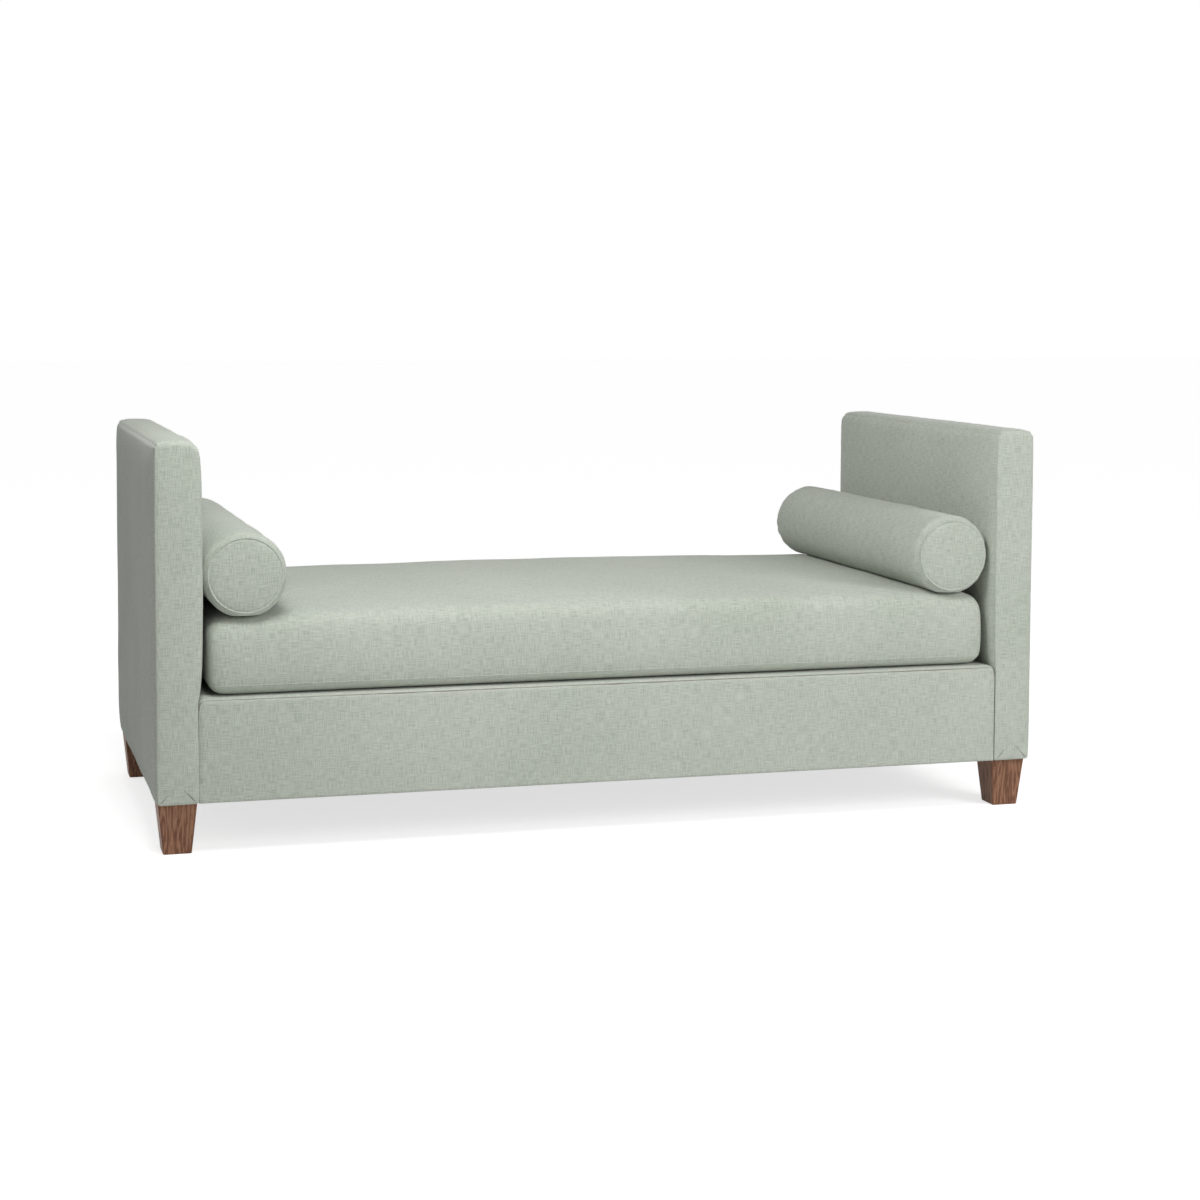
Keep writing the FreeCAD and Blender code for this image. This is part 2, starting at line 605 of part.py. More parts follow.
def make_base_upholstery():
    """Foam, covers, deck and dust cover of the seat base."""
    front_and_back("rail_padding", board(
        "back_rail_padding",
        (f"0 - {BASE_HALF}", FRAME_HALF_DEPTH, f"{UNDERSIDE} + sizes.base_bottom_edge"),
        (BASE_HALF, f"{HALF_DEPTH} - {WRAP}", PAD_BOTTOM)))

    deck_pad = new_body("deck_pad_body")
    sketch = new_sketch(deck_pad, "deck_pad_outline", "YZ_Plane")
    end = f"({HALF_DEPTH} - {WRAP})"
    edge = f"(sizes.base_top_edge - {WRAP})"
    draw_outline(sketch, [
        (f"0 - {end}", PAD_BOTTOM), (end, PAD_BOTTOM), (end, f"{PAD_TOP} - {edge}"),
        (f"{end} - {edge}", PAD_TOP), (f"{edge} - {end}", PAD_TOP),
        (f"0 - {end}", f"{PAD_TOP} - {edge}")], {2: edge, 4: edge})
    pad(deck_pad, sketch, f"2 * {BASE_HALF}", midplane=True)
    node(deck_pad, "deck_pad")

    cover = new_body("back_base_cover_body")
    sketch = new_sketch(cover, "base_cover_outline", "YZ_Plane")
    face = HALF_DEPTH
    skin = "sizes.cover_thickness"
    top_edge = "sizes.base_top_edge"
    bottom_edge = "sizes.base_bottom_edge"
    top_end = f"({face} - sizes.cover_top_return)"
    bottom_end = f"({face} - sizes.cover_bottom_return)"
    draw_outline(sketch, [
        (bottom_end, UNDERSIDE), (f"{face} - {bottom_edge}", UNDERSIDE),
        (face, f"{UNDERSIDE} + {bottom_edge}"), (face, f"{DECK} - {top_edge}"),
        (f"{face} - {top_edge}", DECK), (top_end, DECK),
        (top_end, f"{DECK} - {skin}"), (f"{face} - {top_edge}", f"{DECK} - {skin}"),
        (f"{face} - {skin}", f"{DECK} - {top_edge}"),
        (f"{face} - {skin}", f"{UNDERSIDE} + {bottom_edge}"),
        (f"{face} - {bottom_edge}", f"{UNDERSIDE} + {skin}"),
        (bottom_end, f"{UNDERSIDE} + {skin}"),
    ], {1: bottom_edge, 3: top_edge, 7: f"({skin} - {top_edge})", 9: f"({skin} - {bottom_edge})"})
    pad(cover, sketch, f"2 * {BASE_HALF}", midplane=True)
    front_and_back("base_cover", cover)

    node(board("deck_cloth_sheet", (f"0 - {BASE_HALF}", f"0 - {top_end}", f"{DECK} - {skin}"),
               (BASE_HALF, top_end, DECK)), "deck_cloth")
    node(board("dust_cover_sheet",
               (f"sizes.dust_cover_end_margin - {BASE_HALF}",
                f"sizes.dust_cover_margin - {HALF_DEPTH}",
                f"{UNDERSIDE} - sizes.dust_cover_thickness"),
               (f"{BASE_HALF} - sizes.dust_cover_end_margin",
                f"{HALF_DEPTH} - sizes.dust_cover_margin", UNDERSIDE)), "dust_cover")


# Interlaced webbing: straps along the seat and across it pass over and under
# each other in turn, so neighbouring straps carry opposite waves
CROSSING_MARGIN = 3


def strap_line(half_span, pitch, count, starts_over):
    """Middle line of one strap: flat on its landings and over or under each crossing."""
    rise = value(WEAVE_RISE)
    half_flat = size("webbing_width") / 2 + CROSSING_MARGIN
    line = [(-half_span - size("webbing_landing"), -rise), (-half_span, -rise)]
    for crossing in range(count):
        over = (crossing % 2 == 0) == starts_over
        middle = -half_span + pitch * (crossing + 0.5)
        height = rise if over else -rise
        line += [(middle - half_flat, height), (middle + half_flat, height)]
    line += [(half_span, -rise), (half_span + size("webbing_landing"), -rise)]
    return line


def strap_row(name, plane, axis, line, first, spacing, copies):
    """Equal straps side by side: one padded wave and its linear pattern."""
    body = new_body(name)
    body.AllowCompound = True
    sketch = new_sketch(body, f"{name}_wave", plane)
    half = size("webbing_thickness") / 2
    upper = [Vector(along, height + half, 0) for along, height in line]
    lower = [Vector(along, height - half, 0) for along, height in reversed(line)]
    outline = upper + lower
    for index, start in enumerate(outline):
        sketch.addGeometry(Part.LineSegment(start, outline[(index + 1) % len(outline)]), False)
    strap = pad(body, sketch, "sizes.webbing_width", midplane=True)
    if copies > 1:
        pattern = body.newObject("PartDesign::LinearPattern", f"{name}_pattern")
        pattern.Originals = [strap]
        pattern.Direction = (origin_plane(body, axis), [""])
        pattern.Length = spacing * (copies - 1)
        pattern.Occurrences = copies
        body.Tip = pattern
    shift = Vector(0, first, 0) if axis == "Y_Axis" else Vector(first, 0, 0)
    body.Placement = FreeCAD.Placement(shift, FreeCAD.Rotation())
    body.setExpression("Placement.Base.z", f"{RAIL_TOP} + {WEBBING_STACK} / 2")
    return body


def make_webbing():
    """Seat webbing, woven from two sets of straps."""
    long_count = int(size("long_strap_count"))
    cross_count = int(size("cross_strap_count"))
    long_half = value(END_RAIL_INNER)
    cross_half = value(RAIL_INNER)
    long_pitch = 2 * cross_half / long_count
    cross_pitch = 2 * long_half / cross_count
    sets = (("long_webbing", "XZ_Plane", "Y_Axis", long_half, cross_pitch, cross_count,
             cross_half, long_pitch, long_count, True),
            ("cross_webbing", "YZ_Plane", "X_Axis", cross_half, long_pitch, long_count,
             long_half, cross_pitch, cross_count, False))
    for (name, plane, axis, half_span, pitch, crossings,
         row_half, row_pitch, row_count, first_over) in sets:
        rows = []
        for parity in range(2):
            line = strap_line(half_span, pitch, crossings, first_over == (parity == 0))
            first = -row_half + row_pitch * (parity + 0.5)
            copies = (row_count + 1 - parity) // 2
            rows.append(strap_row(f"{name}_row_{parity}", plane, axis, line, first,
                                  2 * row_pitch, copies))
        node(group(f"{name}_set", rows), name)


def make_legs():
    """Four tapered wooden legs, each bored for its hanger bolt."""
    half_top = "sizes.leg_top_width / 2"
    half_foot = "sizes.leg_foot_width / 2"
    for name, x_sign, y_sign in leg_places():
        # The wedge's own Y runs up the leg once it is turned upright
        taper = doc.addObject("Part::Wedge", f"{name}_leg_taper")
        bind(taper, Xmin=f"0 - {half_foot}", Xmax=half_foot, Zmin=f"0 - {half_foot}",
             Zmax=half_foot, Ymin="0", Ymax="sizes.leg_height",
             X2min=f"0 - {half_top}", X2max=half_top, Z2min=f"0 - {half_top}", Z2max=half_top)
        taper.Placement = FreeCAD.Placement(Vector(), FreeCAD.Rotation(Vector(1, 0, 0), 90))
        place(taper, f"{x_sign}{ARM_MIDDLE}", f"{y_sign}{LEG_PLACE}", "0")
        bore = rod(f"{name}_leg_bore", "sizes.leg_bolt_radius + sizes.bore_clearance",
                   f"sizes.leg_bolt_in_leg + sizes.leg_bore_margin + {CUT_MARGIN}",
                   (f"{x_sign}{ARM_MIDDLE}", f"{y_sign}{LEG_PLACE}",
                    f"{UNDERSIDE} - sizes.leg_bolt_in_leg - sizes.leg_bore_margin"))
        node(cut(f"{name}_leg_bored", taper, bore), f"{name}_leg")


def hexagon(name, across_flats, length, start, turn=None):
    """A six-sided bar from its start point, upright unless turned."""
    bar = doc.addObject("Part::Prism", name)
    bar.Polygon = 6
    bind(bar, Circumradius=f"{across_flats} / sqrt(3)", Height=length)
    if turn:
        bar.Placement = FreeCAD.Placement(Vector(), turn)
    return place(bar, *start)


def make_leg_hardware():
    """Hanger bolts of the legs and the threaded inserts that hold them."""
    axis = (ARM_MIDDLE, LEG_PLACE)
    bolt = rod("leg_bolt", "sizes.leg_bolt_radius",
               "sizes.leg_bolt_in_leg + sizes.leg_bolt_in_post",
               (*axis, f"{UNDERSIDE} - sizes.leg_bolt_in_leg"))
    node(four_corners("leg_bolt_set", bolt), "leg_hanger_bolts")
    barrel = hexagon("leg_insert_barrel", "sqrt(3) * sizes.insert_radius", "sizes.insert_length",
                     (*axis, FRAME_BOTTOM))
    thread = rod("leg_insert_bore", "sizes.leg_bolt_radius + sizes.thread_clearance",
                 f"sizes.insert_length + 2 * {CUT_MARGIN}",
                 (*axis, f"{FRAME_BOTTOM} - {CUT_MARGIN}"))
    node(four_corners("leg_insert_set", cut("leg_insert", barrel, thread)), "leg_inserts")


def make_joint_hardware():
    """Bolts and nuts that hold each arm to the seat base."""
    nut_face = f"({FRAME_IN} + sizes.arm_panel_thickness)"
    y = "(sizes.joint_bolt_spacing / 2)"
    head = hexagon("joint_bolt_head", "sizes.joint_hexagon", "sizes.joint_head_thickness",
                   (f"{END_RAIL_INNER} - sizes.joint_head_thickness", y, JOINT_HEIGHT), ALONG_X)
    shank = rod("joint_bolt_shank", "sizes.joint_bolt_radius",
                f"{nut_face} + sizes.joint_nut_thickness + sizes.joint_bolt_reach"
                f" - {END_RAIL_INNER}",
                (END_RAIL_INNER, y, JOINT_HEIGHT), ALONG_X)
    node(four_corners("joint_bolt_set", fused("joint_bolt", [head, shank])), "arm_joint_bolts")
    blank = hexagon("joint_nut_blank", "sizes.joint_hexagon", "sizes.joint_nut_thickness",
                    (nut_face, y, JOINT_HEIGHT), ALONG_X)
    thread = rod("joint_nut_bore", "sizes.joint_bolt_radius + sizes.thread_clearance",
                 f"sizes.joint_nut_thickness + 2 * {CUT_MARGIN}",
                 (f"{nut_face} - {CUT_MARGIN}", y, JOINT_HEIGHT), ALONG_X)
    node(four_corners("joint_nut_set", cut("joint_nut", blank, thread)), "arm_joint_nuts")


make_base_frame()
make_base_upholstery()
make_webbing()
make_legs()
make_leg_hardware()
make_joint_hardware()


# Seat cushion: what three outlines share, like the arms, with its crown rising over a
# run at each end and over the whole depth


def cushion_front_outline(name, inset):
    """The cushion from the front: puffed ends, rounded edges and a crown that rises over a run."""
    body = new_body(name)
    sketch = new_sketch(body, f"{name}_outline", "XZ_Plane")
    bulge = "sizes.cushion_side_bulge"
    side = f"({CUSHION_HALF} - {inset} - {bulge})"
    low = f"({DECK} + sizes.cushion_rest + {inset})"
    high = f"({DECK} + sizes.cushion_thickness - {inset})"
    crown = f"({high} + sizes.cushion_crown)"
    round_low = f"(sizes.cushion_end_bottom_round - {inset})"
    round_high = f"(sizes.cushion_end_top_round - {inset})"
    run = "sizes.cushion_crown_run"
    full = f"({side} - {round_high} - {run})"
    draw_outline(sketch, [
        (f"{round_low} - {side}", low), (f"{side} - {round_low}", low),
        (side, f"{low} + {round_low}"), (side, f"{high} - {round_high}"),
        (f"{side} - {round_high}", high), (full, crown), (f"0 - {full}", crown),
        (f"{round_high} - {side}", high), (f"0 - {side}", f"{high} - {round_high}"),
        (f"0 - {side}", f"{low} + {round_low}"),
    ], {
        1: round_low, 3: round_high, 7: round_high, 9: round_low,
        2: crowned(f"{high} - {round_high} - {low} - {round_low}", bulge),
        4: crowned(f"2 * {run}", "sizes.cushion_crown"),
        6: crowned(f"2 * {run}", "sizes.cushion_crown"),
        8: crowned(f"{high} - {round_high} - {low} - {round_low}", bulge),
    })
    pad(body, sketch, f"sizes.overall_depth + {PAD_MARGIN}", midplane=True)
    return body


def cushion_side_outline(name, inset):
    """The cushion from the side: puffed faces, rounded edges and a crowned top."""
    body = new_body(name)
    sketch = new_sketch(body, f"{name}_outline", "YZ_Plane")
    bulge = "sizes.cushion_side_bulge"
    side = f"({HALF_DEPTH} - sizes.cushion_inset - {inset} - {bulge})"
    low = f"({DECK} + sizes.cushion_rest + {inset})"
    high = f"({DECK} + sizes.cushion_thickness + sizes.cushion_edge_rise - {inset})"
    round_low = f"(sizes.cushion_bottom_round - {inset})"
    round_high = f"(sizes.cushion_top_round - {inset})"
    draw_outline(sketch, [
        (f"{round_low} - {side}", low), (f"{side} - {round_low}", low),
        (side, f"{low} + {round_low}"), (side, f"{high} - {round_high}"),
        (f"{side} - {round_high}", high), (f"{round_high} - {side}", high),
        (f"0 - {side}", f"{high} - {round_high}"), (f"0 - {side}", f"{low} + {round_low}"),
    ], {
        1: round_low, 3: round_high, 5: round_high, 7: round_low,
        2: crowned(f"{high} - {round_high} - {low} - {round_low}", bulge),
        4: crowned(f"2 * ({side} - {round_high})",
                   "(sizes.cushion_crown - sizes.cushion_edge_rise)"),
        6: crowned(f"{high} - {round_high} - {low} - {round_low}", bulge),
    })
    pad(body, sketch, "sizes.overall_length", midplane=True)
    return body


def cushion_plan_outline(name, inset):
    """The cushion from above: a long box with rounded corners."""
    body = new_body(name)
    sketch = new_sketch(body, f"{name}_outline", "XY_Plane")
    half = f"({CUSHION_HALF} - {inset})"
    depth = f"({HALF_DEPTH} - sizes.cushion_inset - {inset})"
    corner = "sizes.cushion_corner"
    draw_outline(sketch, [
        (f"{corner} - {half}", f"0 - {depth}"), (f"{half} - {corner}", f"0 - {depth}"),
        (half, f"{corner} - {depth}"), (half, f"{depth} - {corner}"),
        (f"{half} - {corner}", depth), (f"{corner} - {half}", depth),
        (f"0 - {half}", f"{depth} - {corner}"), (f"0 - {half}", f"{corner} - {depth}"),
    ], {1: corner, 3: corner, 5: corner, 7: corner})
    pad(body, sketch, "sizes.overall_height")
    return body


def cushion_form(name, inset):
    """The cushion drawn in by an inset all round."""
    return common(name, [cushion_front_outline(f"{name}_front", inset),
                         cushion_side_outline(f"{name}_side", inset),
                         cushion_plan_outline(f"{name}_plan", inset)])


def make_seat_cushion():
    """Loose seat cushion: a woven cover round its filling."""
    outside = cushion_form("seat_cushion_outside", "0")
    inside = cushion_form("seat_cushion_inside", "sizes.cover_thickness")
    node(cut("seat_cushion_shell", outside, inside), "seat_cushion_cover")
    node(cushion_form("seat_cushion_fill", WRAP), "seat_cushion_core")
    return outside


# Bolsters: revolved about their own axis, with a rounded shoulder between the body and
# each seam ring and a puffed cap, then pressed flat where they rest. The shoulder is a
# quarter ellipse in two straight steps.
SHOULDER_TURNS = (0, 42, 90)
BOLSTER_PLACE = (f"({HALF_LENGTH} - sizes.arm_width - sizes.arm_inner_crown"
                 " - sizes.bolster_side_fit - sizes.bolster_radius)")


def bolster_profile(inset):
    """Radius and distance along the axis of each corner of half a bolster, body first."""
    radius = f"(sizes.bolster_radius - {inset})"
    ring = f"(sizes.bolster_ring_radius - {inset})"
    ring_end = f"(sizes.bolster_ring_spacing / 2 - {inset})"
    profile = []
    for turn in SHOULDER_TURNS:
        profile.append((f"({ring} + ({radius} - {ring}) * cos({turn} deg))",
                        f"({ring_end} - sizes.bolster_shoulder * (1 - sin({turn} deg)))"))
    cap_end = f"({ring_end} + sizes.bolster_cap_crown)"
    profile.append((f"({ring} - sizes.bolster_cap_edge)", cap_end))
    profile.append(("0", cap_end))
    return profile


def bolster_round(name, inset):
    """Round form of a bolster on the Y axis, drawn in by an inset all round."""
    body = new_body(name)
    sketch = new_sketch(body, f"{name}_outline", "XY_Plane")
    back = bolster_profile(inset)
    front = [(radius, f"(0 - {along})") for radius, along in reversed(back)]
    draw_outline(sketch, front + back)
    turn = body.newObject("PartDesign::Revolution", f"{name}_turn")
    turn.Profile = sketch
    turn.ReferenceAxis = (origin_plane(body, "Y_Axis"), [""])
    turn.Angle = 360
    return body


def bolster_form(name, inset, rest_height):
    """Right bolster: the round form less what the rest presses flat."""
    round_form = bolster_round(f"{name}_round", inset)
    flat_drop = "sqrt(sizes.bolster_radius^2 - sizes.bolster_flat^2 / 4)"
    place(round_form, BOLSTER_PLACE, "0", f"{rest_height} + {flat_drop}")
    keep = board(f"{name}_room", (f"{BOLSTER_PLACE} - 2 * sizes.bolster_radius",
                                  f"0 - {HALF_DEPTH}", f"{rest_height} + {inset}"),
                 (f"{BOLSTER_PLACE} + 2 * sizes.bolster_radius", HALF_DEPTH,
                  f"{rest_height} + 3 * sizes.bolster_radius"))
    return common(name, [round_form, keep])


def cushion_top_under_bolster(cushion):
    """Highest point of the cushion below the flat of a bolster."""
    doc.recompute()
    half = size("bolster_flat") / 2
    middle = value(BOLSTER_PLACE)
    column = Part.makeBox(2 * half, size("overall_depth"), size("overall_height"),
                          Vector(middle - half, -size("overall_depth") / 2, 0))
    points, _ = cushion.Shape.common(column).tessellate(0.1)
    return max(point.z for point in points)


def make_bolsters(cushion):
    """Two loose bolsters: a woven cover round its filling."""
    top = cushion_top_under_bolster(cushion)
    add_size(len(DIMENSIONS) + 2, "cushion_top_at_bolster", round(top, 2),
             "worked out from the cushion's form")
    doc.recompute()
    rest_height = "(sizes.cushion_top_at_bolster + sizes.bolster_rest)"
    outside = bolster_form("bolster_outside", "0", rest_height)
    inside = bolster_form("bolster_inside", "sizes.cover_thickness", rest_height)
    both_sides("bolster_cover", cut("bolster_shell", outside, inside))
    both_sides("bolster_core", bolster_form("bolster_fill", WRAP, rest_height))


cushion_outside = make_seat_cushion()
make_bolsters(cushion_outside)


def check_model():
    """Stop if any feature failed or any sub-part has no sound solid."""
    doc.recompute()
    for feature in doc.Objects:
        if "Invalid" in feature.State or "Error" in feature.State:
            raise RuntimeError(f"{feature.Name} failed: {feature.State}")
    for feature in nodes:
        shape = feature.Shape
        if shape.isNull() or not shape.isValid() or not shape.Solids:
            raise RuntimeError(f"{feature.Label} has no sound solid")


def write_parts():
    """Write each sub-part to its own file."""
    os.makedirs("parts", exist_ok=True)
    for feature in nodes:
        feature.Shape.exportStep(f"parts/{feature.Label}.step")


check_model()
write_parts()
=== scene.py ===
"""Dresses the backless divan: woven covers, seat cushion, bolsters, legs and underside."""
import json
import math

import bmesh
import bpy
import numpy as np
from mathutils import Matrix, Vector
from mathutils.bvhtree import BVHTree


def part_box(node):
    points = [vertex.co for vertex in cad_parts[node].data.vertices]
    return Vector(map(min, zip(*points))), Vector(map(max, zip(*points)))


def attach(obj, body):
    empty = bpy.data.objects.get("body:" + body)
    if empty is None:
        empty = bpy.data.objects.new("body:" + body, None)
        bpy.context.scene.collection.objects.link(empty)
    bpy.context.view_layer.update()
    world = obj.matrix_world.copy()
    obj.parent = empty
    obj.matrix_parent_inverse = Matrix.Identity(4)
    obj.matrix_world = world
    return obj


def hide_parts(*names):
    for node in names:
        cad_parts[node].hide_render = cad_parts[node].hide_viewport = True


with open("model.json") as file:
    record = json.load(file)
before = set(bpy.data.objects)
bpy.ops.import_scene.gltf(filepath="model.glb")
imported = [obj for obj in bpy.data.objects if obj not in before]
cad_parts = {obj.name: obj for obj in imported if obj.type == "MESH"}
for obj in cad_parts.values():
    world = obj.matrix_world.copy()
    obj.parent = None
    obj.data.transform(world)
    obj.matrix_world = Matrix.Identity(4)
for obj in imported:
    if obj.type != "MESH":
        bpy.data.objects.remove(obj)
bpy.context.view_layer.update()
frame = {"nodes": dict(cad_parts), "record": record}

bl_info = {
    "name": "Backless Divan",
    "version": (1, 0, 0),
    "blender": (4, 5, 0),
    "location": "View3D > Sidebar > Divan",
    "description": "Builds the covers, cushion, bolsters and legs of a backless divan",
    "category": "Add Mesh",
}

MM = 0.001
HALF_PI = math.pi / 2

# Places read from the frame
ARM_LOW, ARM_HIGH = (np.array(corner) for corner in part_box("right_arm_cover"))
BASE_HIGH = np.array(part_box("front_base_cover")[1])
DECK_LOW, DECK_HIGH = (np.array(corner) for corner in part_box("deck_cloth"))
DUST_LOW, DUST_HIGH = (np.array(corner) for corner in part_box("dust_cover"))
PAD_LOW, PAD_HIGH = (np.array(corner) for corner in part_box("deck_pad"))
CUSHION_LOW, CUSHION_HIGH = (np.array(corner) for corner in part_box("seat_cushion_cover"))
BOLSTER_LOW, BOLSTER_HIGH = (np.array(corner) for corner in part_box("right_bolster_cover"))
HALF_DEPTH = ARM_HIGH[1]
UNDERSIDE = ARM_LOW[2]
ARM_TOP = ARM_HIGH[2]
DECK = DECK_HIGH[2]
BASE_HALF = BASE_HIGH[0]

# Mesh clean-up and the waves of the cloth
MERGE_WITHIN = 0.02 * MM
FLAT_WITHIN = 0.01 * MM
RIPPLE_WAVES = 14
RIPPLE_SPREAD = (0.75, 1.3)


def linear(red, green, blue):
    """Scene linear colour of an sRGB colour given in steps of 0 to 255."""
    shares = np.array([red, green, blue]) / 255
    curve = np.where(shares <= 0.04045, shares / 12.92, ((shares + 0.055) / 1.055) ** 2.4)
    return tuple(float(share) for share in curve)


class CoverSettings(bpy.types.PropertyGroup):
    """Cloth of the covers."""
    colour: bpy.props.FloatVectorProperty(
        name="Cloth colour", description="Main colour of the woven cloth",
        subtype="COLOR", size=3, min=0, max=1, default=linear(191, 198, 186))
    shadow_colour: bpy.props.FloatVectorProperty(
        name="Gap colour", description="Colour between the threads",
        subtype="COLOR", size=3, min=0, max=1, default=linear(164, 171, 159))
    slub_colour: bpy.props.FloatVectorProperty(
        name="Slub colour", description="Colour of the thick pale threads",
        subtype="COLOR", size=3, min=0, max=1, default=linear(214, 219, 207))
    thread_pitch: bpy.props.FloatProperty(
        name="Thread pitch", description="One thread to the next",
        unit="LENGTH", default=1.5 * MM, min=0.3 * MM)
    slub_length: bpy.props.FloatProperty(
        name="Slub length", description="Usual length of a thick stretch of thread",
        unit="LENGTH", default=24 * MM, min=2 * MM)
    seam_depth: bpy.props.FloatProperty(
        name="Seam depth", description="How far the cloth is drawn in beside a seam",
        unit="LENGTH", default=1.8 * MM, min=0)


class ArmSettings(bpy.types.PropertyGroup):
    """Shape of the arms."""
    seam_width: bpy.props.FloatProperty(
        name="Seam to seam", description="Width of an arm between its side seams",
        unit="LENGTH", default=84 * MM)
    inner_puff: bpy.props.FloatProperty(
        name="Inner puff", description="Fullness of the face that looks at the seat",
        unit="LENGTH", default=11.6 * MM)
    outer_puff: bpy.props.FloatProperty(
        name="Outer puff", description="Fullness of the outer face",
        unit="LENGTH", default=8 * MM)
    inner_round: bpy.props.FloatProperty(
        name="Inner top round", description="Radius of the top edge that faces the seat",
        unit="LENGTH", default=17 * MM)
    outer_round: bpy.props.FloatProperty(
        name="Outer top round", description="Radius of the top edge that faces out",
        unit="LENGTH", default=8 * MM)
    top_crown: bpy.props.FloatProperty(
        name="Top crown", description="Rise of the arm top between its seams",
        unit="LENGTH", default=11 * MM)


class CushionSettings(bpy.types.PropertyGroup):
    """Shape of the loose cushion."""
    crown: bpy.props.FloatProperty(
        name="Crown", description="Rise of the top in the middle",
        unit="LENGTH", default=21 * MM)
    edge_share: bpy.props.FloatProperty(
        name="Edge share", description="Share of the crown that reaches the front and back edges",
        default=0.55, min=0, max=1)
    thickness: bpy.props.FloatProperty(
        name="Edge height", description="Height of the cushion at its upright faces",
        unit="LENGTH", default=160 * MM)
    seam_height: bpy.props.FloatProperty(
        name="Seam height", description="Lower seam above the underside",
        unit="LENGTH", default=22 * MM)
    pressure: bpy.props.FloatProperty(
        name="Stuffing pressure", description="Pressure that puffs the cover out",
        default=4.0, min=0)
    swell_limit: bpy.props.FloatProperty(
        name="Swell limit", description="Furthest that a point of the cover may move",
        unit="LENGTH", default=7 * MM)


class BolsterSettings(bpy.types.PropertyGroup):
    """Shape of the round bolsters."""
    radius: bpy.props.FloatProperty(
        name="Radius", description="Radius of the body",
        unit="LENGTH", default=88 * MM)
    ring_radius: bpy.props.FloatProperty(
        name="Ring radius", description="Radius of the seam round the cap",
        unit="LENGTH", default=76.5 * MM)
    ring_spacing: bpy.props.FloatProperty(
        name="Ring spacing", description="Seam ring to seam ring",
        unit="LENGTH", default=878 * MM)
    cap_puff: bpy.props.FloatProperty(
        name="Cap puff", description="Fullness of the round end",
        unit="LENGTH", default=6 * MM)
    shoulder: bpy.props.FloatProperty(
        name="Shoulder", description="Length of the rounded shoulder behind the ring",
        unit="LENGTH", default=20 * MM)


class LegSettings(bpy.types.PropertyGroup):
    """Finish of the legs."""
    colour: bpy.props.FloatVectorProperty(
        name="Wood colour", description="Main colour of the stained wood",
        subtype="COLOR", size=3, min=0, max=1, default=linear(158, 117, 92))
    grain_colour: bpy.props.FloatVectorProperty(
        name="Grain colour", description="Colour of the dark grain",
        subtype="COLOR", size=3, min=0, max=1, default=linear(108, 72, 54))
    edge_round: bpy.props.FloatProperty(
        name="Edge round", description="Radius of the eased edges",
        unit="LENGTH", default=2.2 * MM)


class StageSettings(bpy.types.PropertyGroup):
    """Floor, lamps and camera."""
    sky: bpy.props.FloatProperty(
        name="Sky light", description="Even light from all round", default=0.205, min=0)
    overhead: bpy.props.FloatProperty(
        name="Overhead light", description="Soft light from above and behind",
        default=0.295, min=0)
    front: bpy.props.FloatProperty(
        name="Front light", description="Soft light from low in front", default=0.57, min=0)
    seat_lamp: bpy.props.FloatProperty(
        name="Seat lamp", description="Power of the soft lamp over the left end of the seat",
        unit="POWER", default=29.0, min=0)
    near_lamp: bpy.props.FloatProperty(
        name="Near lamp", description="Power of the soft lamp in front of the right arm",
        unit="POWER", default=33.0, min=0)
    lens: bpy.props.FloatProperty(
        name="Lens", description="Focal length on a 36 mm frame", default=69.363)


class DivanSettings(bpy.types.PropertyGroup):
    """Everything that a user would change."""
    cover: bpy.props.PointerProperty(type=CoverSettings)
    arm: bpy.props.PointerProperty(type=ArmSettings)
    cushion: bpy.props.PointerProperty(type=CushionSettings)
    bolster: bpy.props.PointerProperty(type=BolsterSettings)
    leg: bpy.props.PointerProperty(type=LegSettings)
    stage: bpy.props.PointerProperty(type=StageSettings)


# Shape helpers


def swell(distance, run):
    """0 at a seam, rising as a quarter circle to 1 at the run."""
    share = np.clip(distance / run, 0, 1)
    return np.sqrt(np.clip(1 - (1 - share) ** 2, 0, 1))


def ease(share):
    """0 to 1 with a level start and end: three squares less two cubes."""
    share = np.clip(share, 0, 1)
    return share * share * (3 - 2 * share)


def bump(distance, middle, width):
    """Bell curve of height 1 about a middle."""
    return np.exp(-((distance - middle) / width) ** 2)


def rounded_off(distance, radius):
    """How far a rounded end has drawn in at a distance from it: a quarter circle."""
    short = np.clip(radius - distance, 0, None)
    return radius - np.sqrt(np.clip(radius ** 2 - short ** 2, 0, None))


def ripples(points, wavelength, seed):
    """Smooth random field about zero, mostly within 1: the sum of plane waves of nearly one
    length, over the root of their number."""
    chance = np.random.default_rng(seed)
    ways = chance.normal(size=(RIPPLE_WAVES, points.shape[-1]))
    ways /= np.linalg.norm(ways, axis=1)[:, None]
    ways *= (2 * math.pi / wavelength) * chance.uniform(*RIPPLE_SPREAD, (RIPPLE_WAVES, 1))
    phases = chance.uniform(0, 2 * math.pi, RIPPLE_WAVES)
    return np.sin(points @ ways.T + phases).sum(-1) / math.sqrt(RIPPLE_WAVES)


def spaced(stops, steps):
    """Values that run through the stops with a number of even steps between each two."""
    parts = [np.linspace(a, b, n, endpoint=False)
             for a, b, n in zip(stops[:-1], stops[1:], steps)]
    return np.concatenate(parts + [np.array([stops[-1]])])


def grid_faces(rows, columns, wrap):
    """Quads of a grid of rows by columns, closed round the columns if wrapped."""
    row = np.arange(rows - 1)[:, None]
    column = np.arange(columns if wrap else columns - 1)[None, :]
    following = (column + 1) % columns
    quads = np.stack([row * columns + column, row * columns + following,
                      (row + 1) * columns + following, (row + 1) * columns + column], -1)
    return quads.reshape(-1, 4)


